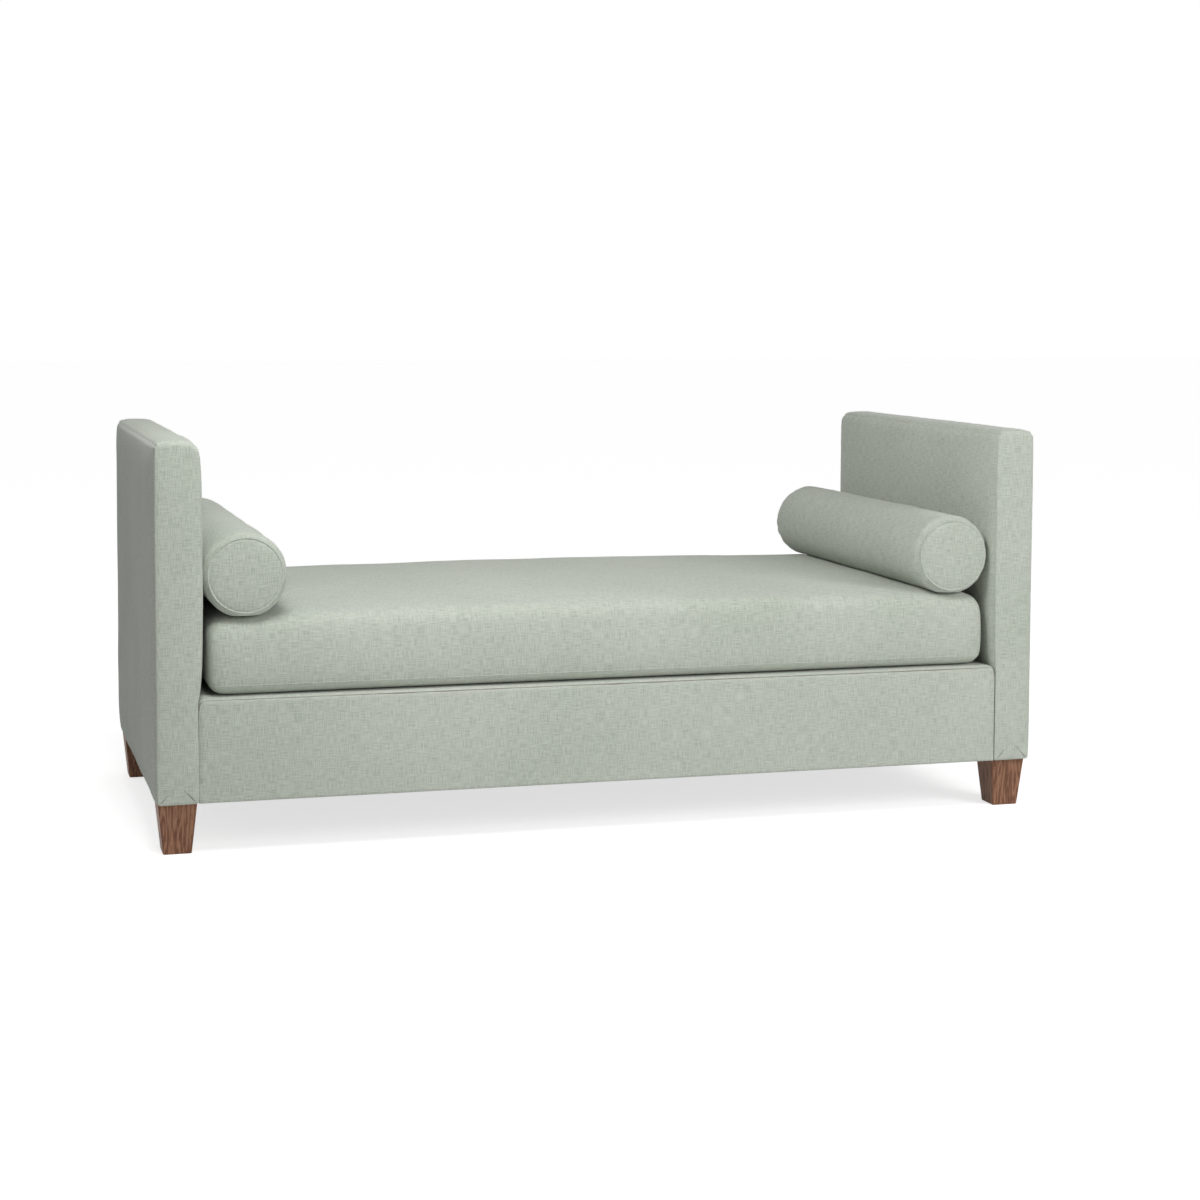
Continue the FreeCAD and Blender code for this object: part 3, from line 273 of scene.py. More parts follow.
def new_mesh(name, points, faces, weave=None):
    """An object from points and quads, with its doubles merged and its faces outward.

    weave gives two lengths per point along the threads, kept as the UV map of that name.
    """
    mesh = bpy.data.meshes.new(name)
    mesh.from_pydata(np.asarray(points, float).reshape(-1, 3).tolist(), [],
                     np.asarray(faces).tolist())
    if weave is not None:
        layer = mesh.uv_layers.new(name="weave")
        corners = np.empty(len(mesh.loops), np.int32)
        mesh.loops.foreach_get("vertex_index", corners)
        values = np.asarray(weave, np.float32).reshape(-1, 2)[corners]
        layer.data.foreach_set("uv", values.ravel())
    tidy_mesh(mesh)
    obj = bpy.data.objects.new(name, mesh)
    bpy.context.scene.collection.objects.link(obj)
    return obj


def tidy_mesh(mesh):
    """Merge doubles, drop flat faces, turn the faces outward and shade smooth."""
    form = bmesh.new()
    form.from_mesh(mesh)
    bmesh.ops.remove_doubles(form, verts=form.verts, dist=MERGE_WITHIN)
    bmesh.ops.dissolve_degenerate(form, edges=form.edges, dist=FLAT_WITHIN)
    bmesh.ops.recalc_face_normals(form, faces=form.faces)
    form.to_mesh(mesh)
    form.free()
    mesh.polygons.foreach_set("use_smooth", np.ones(len(mesh.polygons), bool))
    mesh.update()


def read_points(mesh):
    """Vertex places of a mesh as an array."""
    points = np.empty(len(mesh.vertices) * 3)
    mesh.vertices.foreach_get("co", points)
    return points.reshape(-1, 3)


def read_normals(mesh):
    """Vertex normals of a mesh as an array."""
    normals = np.empty(len(mesh.vertices) * 3, np.float32)
    mesh.vertex_normals.foreach_get("vector", normals)
    return normals.reshape(-1, 3).astype(float)


def write_points(mesh, points):
    """Put the vertices of a mesh at the places in an array."""
    mesh.vertices.foreach_set("co", np.asarray(points, np.float32).ravel())
    mesh.update()


def weave_by_side(obj):
    """Thread lengths from the side that each face looks to: the two other coordinates."""
    mesh = obj.data
    layer = mesh.uv_layers.get("weave") or mesh.uv_layers.new(name="weave")
    normals = np.empty(len(mesh.polygons) * 3, np.float32)
    mesh.polygons.foreach_get("normal", normals)
    side = np.abs(normals.reshape(-1, 3)).argmax(1)
    sizes = np.empty(len(mesh.polygons), np.int32)
    mesh.polygons.foreach_get("loop_total", sizes)
    corners = np.empty(len(mesh.loops), np.int32)
    mesh.loops.foreach_get("vertex_index", corners)
    points = read_points(mesh)[corners]
    side = np.repeat(side, sizes)
    across = np.where(side == 0, points[:, 1], points[:, 0])
    along = np.where(side == 2, points[:, 1], points[:, 2])
    layer.data.foreach_set("uv", np.stack([across, along], -1).astype(np.float32).ravel())


def mirror_across(points):
    """The points on the other side of the middle of the divan."""
    return points * np.array([-1.0, 1.0, 1.0])


def dress(obj, material, slot, body, *nodes):
    """Give a piece its material and body, and let it stand for its nodes; the slot is not used."""
    obj.data.materials.clear()
    obj.data.materials.append(material)
    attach(obj, body)
    if nodes:
        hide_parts(*nodes)
    return obj


# Materials


class Nodes:
    """Short calls that add and link nodes of one material."""

    def __init__(self, name):
        self.material = bpy.data.materials.new(name)
        self.material.use_nodes = True
        self.tree = self.material.node_tree
        self.shader = self.tree.nodes["Principled BSDF"]

    def add(self, kind, **settings):
        """A node with its settings."""
        made = self.tree.nodes.new(kind)
        for key, setting in settings.items():
            setattr(made, key, setting)
        return made

    def join(self, source, target):
        """A link from an output to an input."""
        self.tree.links.new(source, target)

    def number(self, operation, first, second=None, third=None):
        """What a Math node makes of sockets and numbers."""
        made = self.add("ShaderNodeMath", operation=operation)
        for socket, source in zip(made.inputs, (first, second, third)):
            if source is None:
                continue
            if isinstance(source, (int, float)):
                socket.default_value = source
            else:
                self.join(source, socket)
        return made.outputs[0]

    def stretched(self, source, scale):
        """The coordinates multiplied by three factors."""
        made = self.add("ShaderNodeMapping")
        made.inputs["Scale"].default_value = scale
        self.join(source, made.inputs["Vector"])
        return made.outputs["Vector"]

    def plane(self, across, along, across_scale, along_scale):
        """A vector of two lengths, each multiplied by its own factor."""
        made = self.add("ShaderNodeCombineXYZ")
        self.join(self.number("MULTIPLY", across, across_scale), made.inputs[0])
        self.join(self.number("MULTIPLY", along, along_scale), made.inputs[1])
        return made.outputs[0]

    def noise(self, vector, scale=1.0, detail=2.0, rough=0.5, flat=False):
        """Noise between 0 and 1."""
        made = self.add("ShaderNodeTexNoise")
        made.noise_dimensions = "2D" if flat else "3D"
        made.inputs["Scale"].default_value = scale
        made.inputs["Detail"].default_value = detail
        made.inputs["Roughness"].default_value = rough
        self.join(vector, made.inputs["Vector"])
        return made.outputs["Fac"]

    def between(self, value, low, high, to_low=0.0, to_high=1.0):
        """A value carried smoothly from one range to another."""
        made = self.add("ShaderNodeMapRange", interpolation_type="SMOOTHSTEP")
        made.inputs["From Min"].default_value = low
        made.inputs["From Max"].default_value = high
        made.inputs["To Min"].default_value = to_low
        made.inputs["To Max"].default_value = to_high
        self.join(value, made.inputs["Value"])
        return made.outputs["Result"]

    def mixed(self, share, first, second):
        """Two colours mixed by a share."""
        made = self.add("ShaderNodeMix", data_type="RGBA")
        for socket, source in ((made.inputs[0], share), (made.inputs[6], first),
                               (made.inputs[7], second)):
            if isinstance(source, bpy.types.NodeSocket):
                self.join(source, socket)
            elif isinstance(source, (int, float)):
                socket.default_value = source
            else:
                socket.default_value = (*source[:3], 1.0)
        return made.outputs[2]

    def finish(self, colour, height, depth, roughness):
        """Link a colour and a height, and set the roughness."""
        self.join(colour, self.shader.inputs["Base Color"])
        relief = self.add("ShaderNodeBump")
        relief.inputs["Distance"].default_value = depth
        relief.inputs["Strength"].default_value = 1.0
        self.join(height, relief.inputs["Height"])
        self.join(relief.outputs["Normal"], self.shader.inputs["Normal"])
        if isinstance(roughness, float):
            self.shader.inputs["Roughness"].default_value = roughness
        else:
            self.join(roughness, self.shader.inputs["Roughness"])
        return self.material


def thread_set(nodes, across, along, pitch, length):
    """Threads that lie side by side, as noise drawn out along them.

    Gives the uneven height of the threads and, from broader noise, where their thick pale
    slubs are.
    """
    slub_width, slub_run = 2.0 * pitch, 1.25 * length
    fine = nodes.plane(across, along, 1 / pitch, 1 / length)
    broad = nodes.plane(across, along, 1 / slub_width, 1 / slub_run)
    uneven = nodes.noise(fine, detail=1.0, rough=0.4, flat=True)
    slubs = nodes.noise(broad, flat=True)
    return uneven, nodes.between(slubs, low=0.60, high=0.78)


def woven_cloth(name, settings):
    """Plain weave of uneven threads both ways, with pale slubs and a soft sheen."""
    slub_relief, weave_relief = 0.45, 0.12
    warm_shade, warm_share = (1.0, 0.98, 0.93), 0.07
    nodes = Nodes(name)
    threads = nodes.add("ShaderNodeUVMap", uv_map="weave")
    parts = nodes.add("ShaderNodeSeparateXYZ")
    nodes.join(threads.outputs["UV"], parts.inputs[0])
    across, along = parts.outputs[0], parts.outputs[1]
    pitch, length = settings.thread_pitch, settings.slub_length
    warp, warp_slubs = thread_set(nodes, across, along, pitch, length)
    weft, weft_slubs = thread_set(nodes, along, across, pitch, length)
    cloth = nodes.number("MULTIPLY", nodes.number("ADD", warp, weft), 0.5)
    lit = nodes.between(cloth, low=0.28, high=0.64)
    ground = nodes.mixed(lit, settings.shadow_colour, settings.colour)
    slubs = nodes.number("MAXIMUM", warp_slubs, weft_slubs)
    place = nodes.add("ShaderNodeTexCoord").outputs["Object"]
    patches = nodes.between(nodes.noise(place, scale=3.5, detail=3.0), low=0.3, high=0.7)
    slub_share = nodes.between(patches, low=0.0, high=1.0, to_low=0.12, to_high=0.30)
    colour = nodes.mixed(nodes.number("MULTIPLY", slubs, slub_share), ground,
                         settings.slub_colour)
    worn = nodes.mixed(nodes.number("MULTIPLY", patches, warm_share), colour, warm_shade)
    wave = 2 * math.pi / pitch
    over = nodes.number("SINE", nodes.number("MULTIPLY", across, wave))
    under = nodes.number("SINE", nodes.number("MULTIPLY", along, wave))
    weave = nodes.number("MULTIPLY", over, under)
    height = nodes.number("MULTIPLY_ADD", weave, weave_relief, nodes.number(
        "MULTIPLY_ADD", slubs, slub_relief, cloth))
    nodes.shader.inputs["Specular IOR Level"].default_value = 0.22
    nodes.shader.inputs["Sheen Weight"].default_value = 0.3
    nodes.shader.inputs["Sheen Roughness"].default_value = 0.45
    return nodes.finish(worn, height, depth=0.55 * MM, roughness=0.93)


def mottled(nodes, fine, cloudy, fine_share, colour, dark):
    """Two colours mixed by fine noise and, for the rest, by cloudy noise."""
    shade = nodes.number("MULTIPLY_ADD", fine, fine_share,
                         nodes.number("MULTIPLY", cloudy, 1 - fine_share))
    return nodes.mixed(shade, dark, colour)


def lining_cloth(name, colour, dark):
    """Thin close cloth with fine threads."""
    nodes = Nodes(name)
    place = nodes.add("ShaderNodeTexCoord").outputs["Object"]
    fine = nodes.noise(place, scale=1400.0)
    cloudy = nodes.noise(place, scale=9.0, detail=3.0)
    nodes.shader.inputs["Specular IOR Level"].default_value = 0.2
    return nodes.finish(mottled(nodes, fine, cloudy, 0.6, colour, dark), fine,
                        depth=0.3 * MM, roughness=0.9)


def grained_wood(name, colour, grain, along=2, rough=0.42):
    """Wood whose grain runs along one axis: noise drawn out along it, broad figure and pores."""
    ring_count, ring_share, fine_share = 5.0, 0.45, 0.65
    pore_dark, pore_share, pore_depth, rough_range = 0.45, 0.55, 0.8, 0.12
    nodes = Nodes(name)
    place = nodes.add("ShaderNodeTexCoord").outputs["Object"]
    fine_scale, broad_scale, pore_scale = [420.0] * 3, [75.0] * 3, [1500.0] * 3
    fine_scale[along], broad_scale[along], pore_scale[along] = 5.0, 1.2, 40.0
    fine = nodes.noise(nodes.stretched(place, fine_scale), detail=3.0, rough=0.55)
    broad = nodes.noise(nodes.stretched(place, broad_scale))
    pore = nodes.noise(nodes.stretched(place, pore_scale), detail=1.0)
    figure = nodes.number("FRACT", nodes.number("MULTIPLY", broad, ring_count))
    from_ring = nodes.number("ABSOLUTE", nodes.number("SUBTRACT", figure, 0.5))
    rings = nodes.between(from_ring, low=0.0, high=0.5)
    pores = nodes.between(pore, low=0.58, high=0.72)
    shade = nodes.number("MULTIPLY_ADD", rings, ring_share,
                         nodes.number("MULTIPLY", fine, fine_share))
    base = nodes.mixed(nodes.between(shade, low=0.2, high=0.85), grain, colour)
    dark = tuple(pore_dark * part for part in grain)
    seen = nodes.mixed(nodes.number("MULTIPLY", pores, pore_share), base, dark)
    height = nodes.number("SUBTRACT", fine, nodes.number("MULTIPLY", pores, pore_depth))
    worn = nodes.between(fine, low=0.2, high=0.8, to_low=rough, to_high=rough + rough_range)
    nodes.shader.inputs["Specular IOR Level"].default_value = 0.18
    return nodes.finish(seen, height, depth=0.15 * MM, roughness=worn)


def open_foam(name, colour, dark):
    """Foam or felt: small cells with a soft mottle."""
    nodes = Nodes(name)
    place = nodes.add("ShaderNodeTexCoord").outputs["Object"]
    cells = nodes.noise(place, scale=700.0, rough=0.6)
    cloudy = nodes.noise(place, scale=14.0)
    nodes.shader.inputs["Specular IOR Level"].default_value = 0.15
    return nodes.finish(mottled(nodes, cells, cloudy, 0.7, colour, dark), cells,
                        depth=0.6 * MM, roughness=0.95)


def strap_web(name, colour, dark):
    """Woven strap with a fine mottle."""
    nodes = Nodes(name)
    place = nodes.add("ShaderNodeTexCoord").outputs["Object"]
    threads = nodes.noise(place, scale=900.0, detail=1.0)
    return nodes.finish(nodes.mixed(threads, dark, colour), threads, depth=0.4 * MM,
                        roughness=0.85)


def zinc_steel(name):
    """Plated steel with fine scratches."""
    nodes = Nodes(name)
    place = nodes.add("ShaderNodeTexCoord").outputs["Object"]
    marks = nodes.noise(nodes.stretched(place, (300, 2600, 2600)))
    nodes.shader.inputs["Metallic"].default_value = 1.0
    colour = nodes.mixed(marks, (0.42, 0.42, 0.44), (0.66, 0.66, 0.67))
    worn = nodes.between(marks, low=0.2, high=0.8, to_low=0.3, to_high=0.5)
    return nodes.finish(colour, marks, depth=0.05 * MM, roughness=worn)


def material(key):
    """One of the divan's materials, made on first use."""
    found = bpy.data.materials.get(key)
    if found:
        return found
    settings = bpy.context.scene.divan
    makers = {
        "sage_cover_cloth": lambda: woven_cloth(key, settings.cover),
        "sage_deck_cloth": lambda: lining_cloth(key, linear(178, 184, 174), linear(150, 157, 147)),
        "black_base_cloth": lambda: lining_cloth(key, linear(46, 46, 45), linear(24, 24, 24)),
        "stained_leg_wood": lambda: grained_wood(
            key, tuple(settings.leg.colour), tuple(settings.leg.grain_colour)),
        "frame_wood": lambda: grained_wood(
            key, linear(214, 184, 142), linear(180, 145, 102), along=1, rough=0.6),
        "cream_foam": lambda: open_foam(key, linear(238, 230, 208), linear(214, 204, 178)),
        "grey_felt": lambda: open_foam(key, linear(160, 156, 150), linear(110, 106, 100)),
        "strap_web": lambda: strap_web(key, linear(168, 140, 104), linear(110, 88, 60)),
        "zinc_steel": lambda: zinc_steel(key),
    }
    return makers[key]()


# Arms


def arm_outline(arm):
    """Closed outline of the right arm seen from the front, from the inner bottom up and round.

    Straight sides with rounded corners; gives places and outward ways, the places across of
    the inner and the outer seam, and the height of the top between them.
    """
    bottom_round, longest_step, corner_points = 6 * MM, 9 * MM, 25
    outer = ARM_HIGH[0] - arm.outer_puff
    inner = outer - arm.seam_width
    top = ARM_TOP - arm.top_crown
    corners = [
        (inner + bottom_round, UNDERSIDE + bottom_round, bottom_round, math.pi * 1.5),
        (inner + arm.inner_round, top - arm.inner_round, arm.inner_round, math.pi),
        (outer - arm.outer_round, top - arm.outer_round, arm.outer_round, HALF_PI),
        (outer - bottom_round, UNDERSIDE + bottom_round, bottom_round, 0.0),
    ]
    points, ways = [], []
    for index, (x, z, radius, start) in enumerate(corners):
        angles = start - HALF_PI * np.linspace(0, 1, corner_points)
        way = np.stack([np.cos(angles), np.sin(angles)], -1)
        points.append(np.array([x, z]) + radius * way)
        ways.append(way)
        after_x, after_z, after_radius, after_start = corners[(index + 1) % len(corners)]
        last = points[-1][-1]
        first = np.array([after_x + after_radius * math.cos(after_start),
                          after_z + after_radius * math.sin(after_start)])
        count = max(3, int(np.linalg.norm(first - last) / longest_step))
        even = np.linspace(0, 1, count + 1)[1:-1]
        share = (ease(even) + even) / 2
        points.append(last + (first - last) * share[:, None])
        ways.append(np.repeat(way[-1:], len(share), 0))
    return np.concatenate(points), np.concatenate(ways), inner, outer, top


def end_places(half, fine, run, step):
    """Places from -half to half, dense near both ends: fine distances, then even steps."""
    near = np.array(fine)
    middle = np.linspace(run, 2 * half - run, max(3, int((2 * half - 2 * run) / step)))
    return np.concatenate([near, middle, (2 * half - near)[::-1]]) - half


FINE_ENDS = np.array([0, 0.15, 0.5, 1.0, 1.7, 2.5, 3.4, 4.5, 5.8, 7.2, 8.8, 11, 14, 18, 23,
                      29, 36, 44, 54, 66]) * MM


def arm_surface(arm, cover, seed, front_run):
    """Right arm: its outline carried from front to back, with both faces puffed between
    the seams, a crowned top, rounded ends and the cloth drawn in beside each seam."""
    outline, ways, inner, outer, top = arm_outline(arm)
    depth = end_places(HALF_DEPTH, FINE_ENDS, run=72 * MM, step=5 * MM)[:, None]
    d = HALF_DEPTH - np.abs(depth)
    x, z = outline[:, 0][None, :], outline[:, 1][None, :]
    way_x, way_z = ways[:, 0][None, :], ways[:, 1][None, :]
    inward, outward = np.clip(-way_x, 0, 1), np.clip(way_x, 0, 1)
    upward, downward = np.clip(way_z, 0, 1), np.clip(-way_z, 0, 1)

    seat = DECK - 4 * MM
    tall_inner = swell(z - seat, 150 * MM) * swell(top - z, 90 * MM)
    tall_outer = swell(z - UNDERSIDE, 90 * MM) * swell(top - z, 60 * MM)
    outer_run, crown_run, crown_at_end = 80 * MM, 45 * MM, 0.35
    puff = arm.inner_puff * inward ** 2 * tall_inner * swell(d, front_run)
    puff = puff + arm.outer_puff * outward ** 2 * tall_outer * swell(d, outer_run)
    inner_share, outer_share = 0.42, 0.34
    across = np.clip((x - inner) / (outer - inner), 0, 1)
    domed = swell(across, inner_share) * swell(1 - across, outer_share)
    puff = puff + arm.top_crown * upward * domed * (
        crown_at_end + (1 - crown_at_end) * swell(d, crown_run))

    tight_run, tight_share, broad_dip = 40 * MM, 0.8, 0.35
    side = np.maximum(inward, outward) ** 2
    dip = bump(d, 7 * MM, 5 * MM) + broad_dip * bump(d, 16 * MM, 10 * MM)
    slack = 1 - tight_share * (front_run < tight_run) * inward ** 2
    seam_share, seam_band, seam_width, beside_width = 0.4, 30 * MM, 1.6 * MM, 7 * MM
    top_seam = np.where(x < (inner + outer) / 2, inner + seam_share * arm.inner_round,
                        outer - seam_share * arm.outer_round)
    near_top = z > top - seam_band
    valley = cover.seam_depth * (side * dip * slack + bump(x, top_seam, seam_width) * near_top)
    beside_seam = bump(x, top_seam, beside_width) * near_top

    end_round = 3.2 * MM + 6 * MM * upward ** 2 + 3 * MM * downward
    inset = rounded_off(d, end_round)

    pucker_depth, seam_pucker, calm_end = 0.30 * MM, 0.35 * MM, 12 * MM
    field = np.stack(np.broadcast_arrays(x, depth, z), -1)
    soft = ripples(field, 230 * MM, seed) * 0.55 * MM + ripples(
        field, 90 * MM, seed + 1) * 0.22 * MM
    pucker = pucker_depth * side * bump(d, 6 * MM, 9 * MM) * ripples(
        field * np.array([1.0, 0.15, 1.0]), 17 * MM, seed + 2)
    pucker = pucker + seam_pucker * beside_seam * ripples(
        field * np.array([0.2, 1.0, 0.2]), 21 * MM, seed + 3)
    offset = puff - valley - inset + (soft + pucker) * swell(d, calm_end)
    surface = np.stack([x + way_x * offset, np.broadcast_to(depth, offset.shape),
                        z + way_z * offset], -1)
    return surface, inner, outer, top


CAP_STEPS = np.array([0, 0.6, 1.3, 2.1, 3.0, 4.0, 5.2, 6.8, 9, 12, 16, 21, 27, 33, 39]) * MM


def arm_cap(loop, face, sign, inner, outer, top, seed):
    """End panel of an arm: rings drawn in from its outline, gently full between the seams,
    with a fine ridge and a shallow dip beside each upright seam."""
    top_fade, low_fade, full_fade, edge_fade = 30 * MM, 12 * MM, 80 * MM, 1.5 * MM
    fullness, unevenness, inner_strength, outer_strength = 2.4 * MM, 0.35 * MM, 1.0, 0.4
    middle, half = (inner + outer) / 2, (outer - inner) / 2
    spine_z = np.clip(loop[:, 2], UNDERSIDE + half, top - half)
    spine = np.stack([np.full(len(loop), middle), np.full(len(loop), face), spine_z], -1)
    reach = np.linalg.norm((loop - spine)[:, [0, 2]], axis=1)
    rings = []
    for step in (*CAP_STEPS, reach):
        share = np.clip(step / reach, 0, 1)[:, None]
        ring = loop * (1 - share) + spine * share
        low_side, high_side = ring[:, 0] - inner, outer - ring[:, 0]
        low_end, high_end = ring[:, 2] - UNDERSIDE, top - ring[:, 2]
        upright = ease(high_end / top_fade) * ease(low_end / low_fade)
        seams = np.zeros(len(ring))
        for side, strength in ((low_side, inner_strength), (high_side, outer_strength)):
            ridge = bump(side, 1.7 * MM, 1.1 * MM) - 0.5 * bump(side, 5.6 * MM, 2.6 * MM)
            seams += strength * upright * ridge
        across = np.clip(low_side / (2 * half), 0, 1)
        full = (4 * across * (1 - across)) ** 0.7 * ease(high_end / full_fade) * ease(
            low_end / full_fade)
        rise = seams * MM + fullness * full
        rise = rise + unevenness * ripples(ring[:, [0, 2]], 120 * MM, seed) * full
        ring[:, 1] = face + sign * rise * ease(step / edge_fade)
        rings.append(ring)
    return np.stack(rings)


def build_arm(name, mirror, seed, front_run):
    """One arm cover as a closed mesh."""
    settings = bpy.context.scene.divan
    surface, inner, outer, top = arm_surface(settings.arm, settings.cover, seed, front_run)
    front = arm_cap(surface[0], -HALF_DEPTH, -1, inner, outer, top, seed + 5)
    back = arm_cap(surface[-1], HALF_DEPTH, 1, inner, outer, top, seed + 6)
    points = np.concatenate([front[::-1], surface, back])
    if mirror:
        points = mirror_across(points)
    rows, columns = points.shape[:2]
    obj = new_mesh(name, points, grid_faces(rows, columns, True))
    weave_by_side(obj)
    return obj


class DIVAN_OT_arms(bpy.types.Operator):
    """Build the covers of both arms"""
    bl_idname = "divan.arms"
    bl_label = "Arm Covers"

    def execute(self, context):
        for name, mirror, seed, front_run in (
                ("right_arm_upholstery", False, 11, 90 * MM),
                ("left_arm_upholstery", True, 23, 18 * MM)):
            arm = build_arm(name, mirror, seed, front_run)
            side = name.split("_")[0]
            dress(arm, material("sage_cover_cloth"), "cover_cloth", "frame",
                  f"{side}_arm_cover", f"{side}_arm_padding")
        return {"FINISHED"}


# Seat base


COVER_THICK = 1.6 * MM
DECK_CLOTH_THICK = 1.2 * MM
DECK_PAD_THICK = 8.6 * MM
DUST_COVER_THICK = 0.8 * MM
DECK_CORNER = 13 * MM
DECK_SAG = 0.6 * MM
DECK_SEED = 41


def base_profile():
    """Outline of the front panel seen from the side, with its outward ways.

    From the deck over a rounded top edge, down the face and in under the base.
    """
    top_round, bottom_round, under_reach = 11 * MM, 6 * MM, 32 * MM
    deck_points, face_points, under_points = 8, 32, 5
    face = -HALF_DEPTH
    arc = np.linspace(0, HALF_PI, 9)
    top = np.stack([face + top_round * (1 - np.sin(arc)),
                    DECK - top_round * (1 - np.cos(arc))], -1)
    low = np.stack([face + bottom_round * (1 - np.cos(arc)),
                    UNDERSIDE + bottom_round * (1 - np.sin(arc))], -1)
    deck_y = np.linspace(BASE_HIGH[1], face + top_round, deck_points + 1)[:-1]
    deck = np.stack([deck_y, np.full(deck_points, DECK)], -1)
    drop = np.linspace(0, 1, face_points + 2)[1:-1, None]
    front = top[-1] + (low[0] - top[-1]) * drop
    under_y = np.linspace(face + bottom_round, face + under_reach, under_points + 1)[1:]
    under = np.stack([under_y, np.full(under_points, UNDERSIDE)], -1)
    outer = np.concatenate([deck, top, front, low, under])
    step = np.gradient(outer, axis=0)
    ways = np.stack([step[:, 1], -step[:, 0]], -1)
    ways /= np.linalg.norm(ways, axis=1)[:, None]
    return outer, ways


def build_base_panel(name, back, seed):
    """Front or back panel of the base: its outline carried along the length, fuller in the
    middle of its height, with rounded top corners at both ends."""
    fullness, pull, tall_fade, full_run, calm_end = 2.6 * MM, 2.4 * MM, 80 * MM, 60 * MM, 20 * MM
    corner_low, corner_fade = 50 * MM, 40 * MM
    outline, ways = base_profile()
    length = end_places(BASE_HALF, FINE_ENDS, run=80 * MM, step=16 * MM)[:, None]
    distance = BASE_HALF - np.abs(length)
    y, z = outline[:, 0][None, :], outline[:, 1][None, :]
    facing = np.clip(-ways[:, 0], 0, 1)[None, :] ** 2
    tall = ease((z - UNDERSIDE) / tall_fade) * ease((DECK - z) / tall_fade)
    puff = fullness * facing * tall * swell(distance, full_run)
    field = np.stack(np.broadcast_arrays(length, y, z), -1)
    puff = puff + facing * (0.45 * MM * ripples(field, 260 * MM, seed) + 0.2 * MM * ripples(
        field, 85 * MM, seed + 1)) * swell(distance, calm_end)
    pulled = pull * facing * bump(distance, 0, 5 * MM)
    drop = rounded_off(distance, DECK_CORNER) * ease((z - DECK + corner_low) / corner_fade)
    outer = np.stack([np.broadcast_to(length, puff.shape),
                      y + ways[:, 0] * (puff - pulled), z + ways[:, 1] * puff - drop], -1)
    inner = outer - np.stack([np.zeros(len(ways)), ways[:, 0], ways[:, 1]], -1) * COVER_THICK
    points = np.concatenate([outer, inner[:, ::-1]], 1)
    if back:
        points = points * np.array([1.0, -1.0, 1.0])
    rows, columns = points.shape[:2]
    faces = [grid_faces(rows, columns, True)]
    step = np.arange(columns // 2 - 1)
    for row in (0, rows - 1):
        start = row * columns
        faces.append(np.stack([start + step, start + step + 1, start + columns - 2 - step,
                               start + columns - 1 - step], -1))
    obj = new_mesh(name, points, np.concatenate(faces))
    weave_by_side(obj)
    return obj


def build_sheet(name, low, high, sag, thick, seed, rounded=0.0):
    """A flat sheet between two corners that sags in the middle, with a thickness.

    It drops by the sag times one less the fourth power of each share from the middle, has
    faint ripples, and may round down at both ends.
    """
    across, along = (end_places((high[axis] - low[axis]) / 2, FINE_ENDS[::3], run=70 * MM,
                                step=24 * MM) for axis in (0, 1))
    across_grid, along_grid = np.meshgrid(across, along, indexing="ij")
    share = (1 - (across_grid / across[-1]) ** 4) * (1 - (along_grid / along[-1]) ** 4)
    field = np.stack([across_grid, along_grid], -1)
    height = high[2] - sag * share + 0.5 * MM * ripples(field, 240 * MM, seed) * share
    if rounded:
        height = height - rounded_off(across[-1] - np.abs(across_grid), rounded)
    upper = np.stack([across_grid, along_grid, height], -1)
    lower = upper - np.array([0, 0, thick])
    rows, columns = upper.shape[:2]
    points = np.concatenate([upper.reshape(-1, 3), lower.reshape(-1, 3)])
    top = grid_faces(rows, columns, False)
    count = rows * columns
    rim = np.concatenate([np.arange(columns), np.arange(1, rows) * columns + columns - 1,
                          (rows - 1) * columns + np.arange(columns - 2, -1, -1),
                          np.arange(rows - 2, 0, -1) * columns])
    following = np.roll(rim, -1)
    side = np.stack([rim, following, following + count, rim + count], -1)
    return new_mesh(name, points, np.concatenate([top, top[:, ::-1] + count, side]))


class DIVAN_OT_base(bpy.types.Operator):
    """Build the upholstery of the seat base"""
    bl_idname = "divan.base"
    bl_label = "Seat Base"

    def execute(self, context):
        for side, back, seed in (("front", False, 31), ("back", True, 37)):
            panel = build_base_panel(f"{side}_base_panel", back, seed)
            dress(panel, material("sage_cover_cloth"), "cover_cloth", "frame",
                  f"{side}_base_cover", f"{side}_rail_padding")
        deck = build_sheet("seat_deck_cloth", DECK_LOW, DECK_HIGH, DECK_SAG,
                           DECK_CLOTH_THICK, DECK_SEED, DECK_CORNER)
        weave_by_side(deck)
        dress(deck, material("sage_deck_cloth"), "cover_cloth", "frame", "deck_cloth")
        pad = build_sheet("seat_deck_pad", PAD_LOW, PAD_HIGH - np.array([0, 0, DECK_CLOTH_THICK]),
                          DECK_SAG, DECK_PAD_THICK, DECK_SEED, DECK_CORNER)
        dress(pad, material("grey_felt"), "felt", "frame", "deck_pad")
        return {"FINISHED"}


class DIVAN_OT_underside(bpy.types.Operator):
    """Build the cloth that closes the underside"""
    bl_idname = "divan.underside"
    bl_label = "Underside"

    def execute(self, context):
        cloth = build_sheet("underside_cloth", DUST_LOW, DUST_HIGH, 0.0, DUST_COVER_THICK, 47)
        dress(cloth, material("black_base_cloth"), "base_cloth", "frame", "dust_cover")
        return {"FINISHED"}


# Seat cushion


CUSHION_VOXEL = 13 * MM
CUSHION_SHRINK = 3 * MM
CUSHION_ENDS = np.array([0, 0.5, 2, 4.5, 8, 12, 17, 23, 29, 36]) * MM


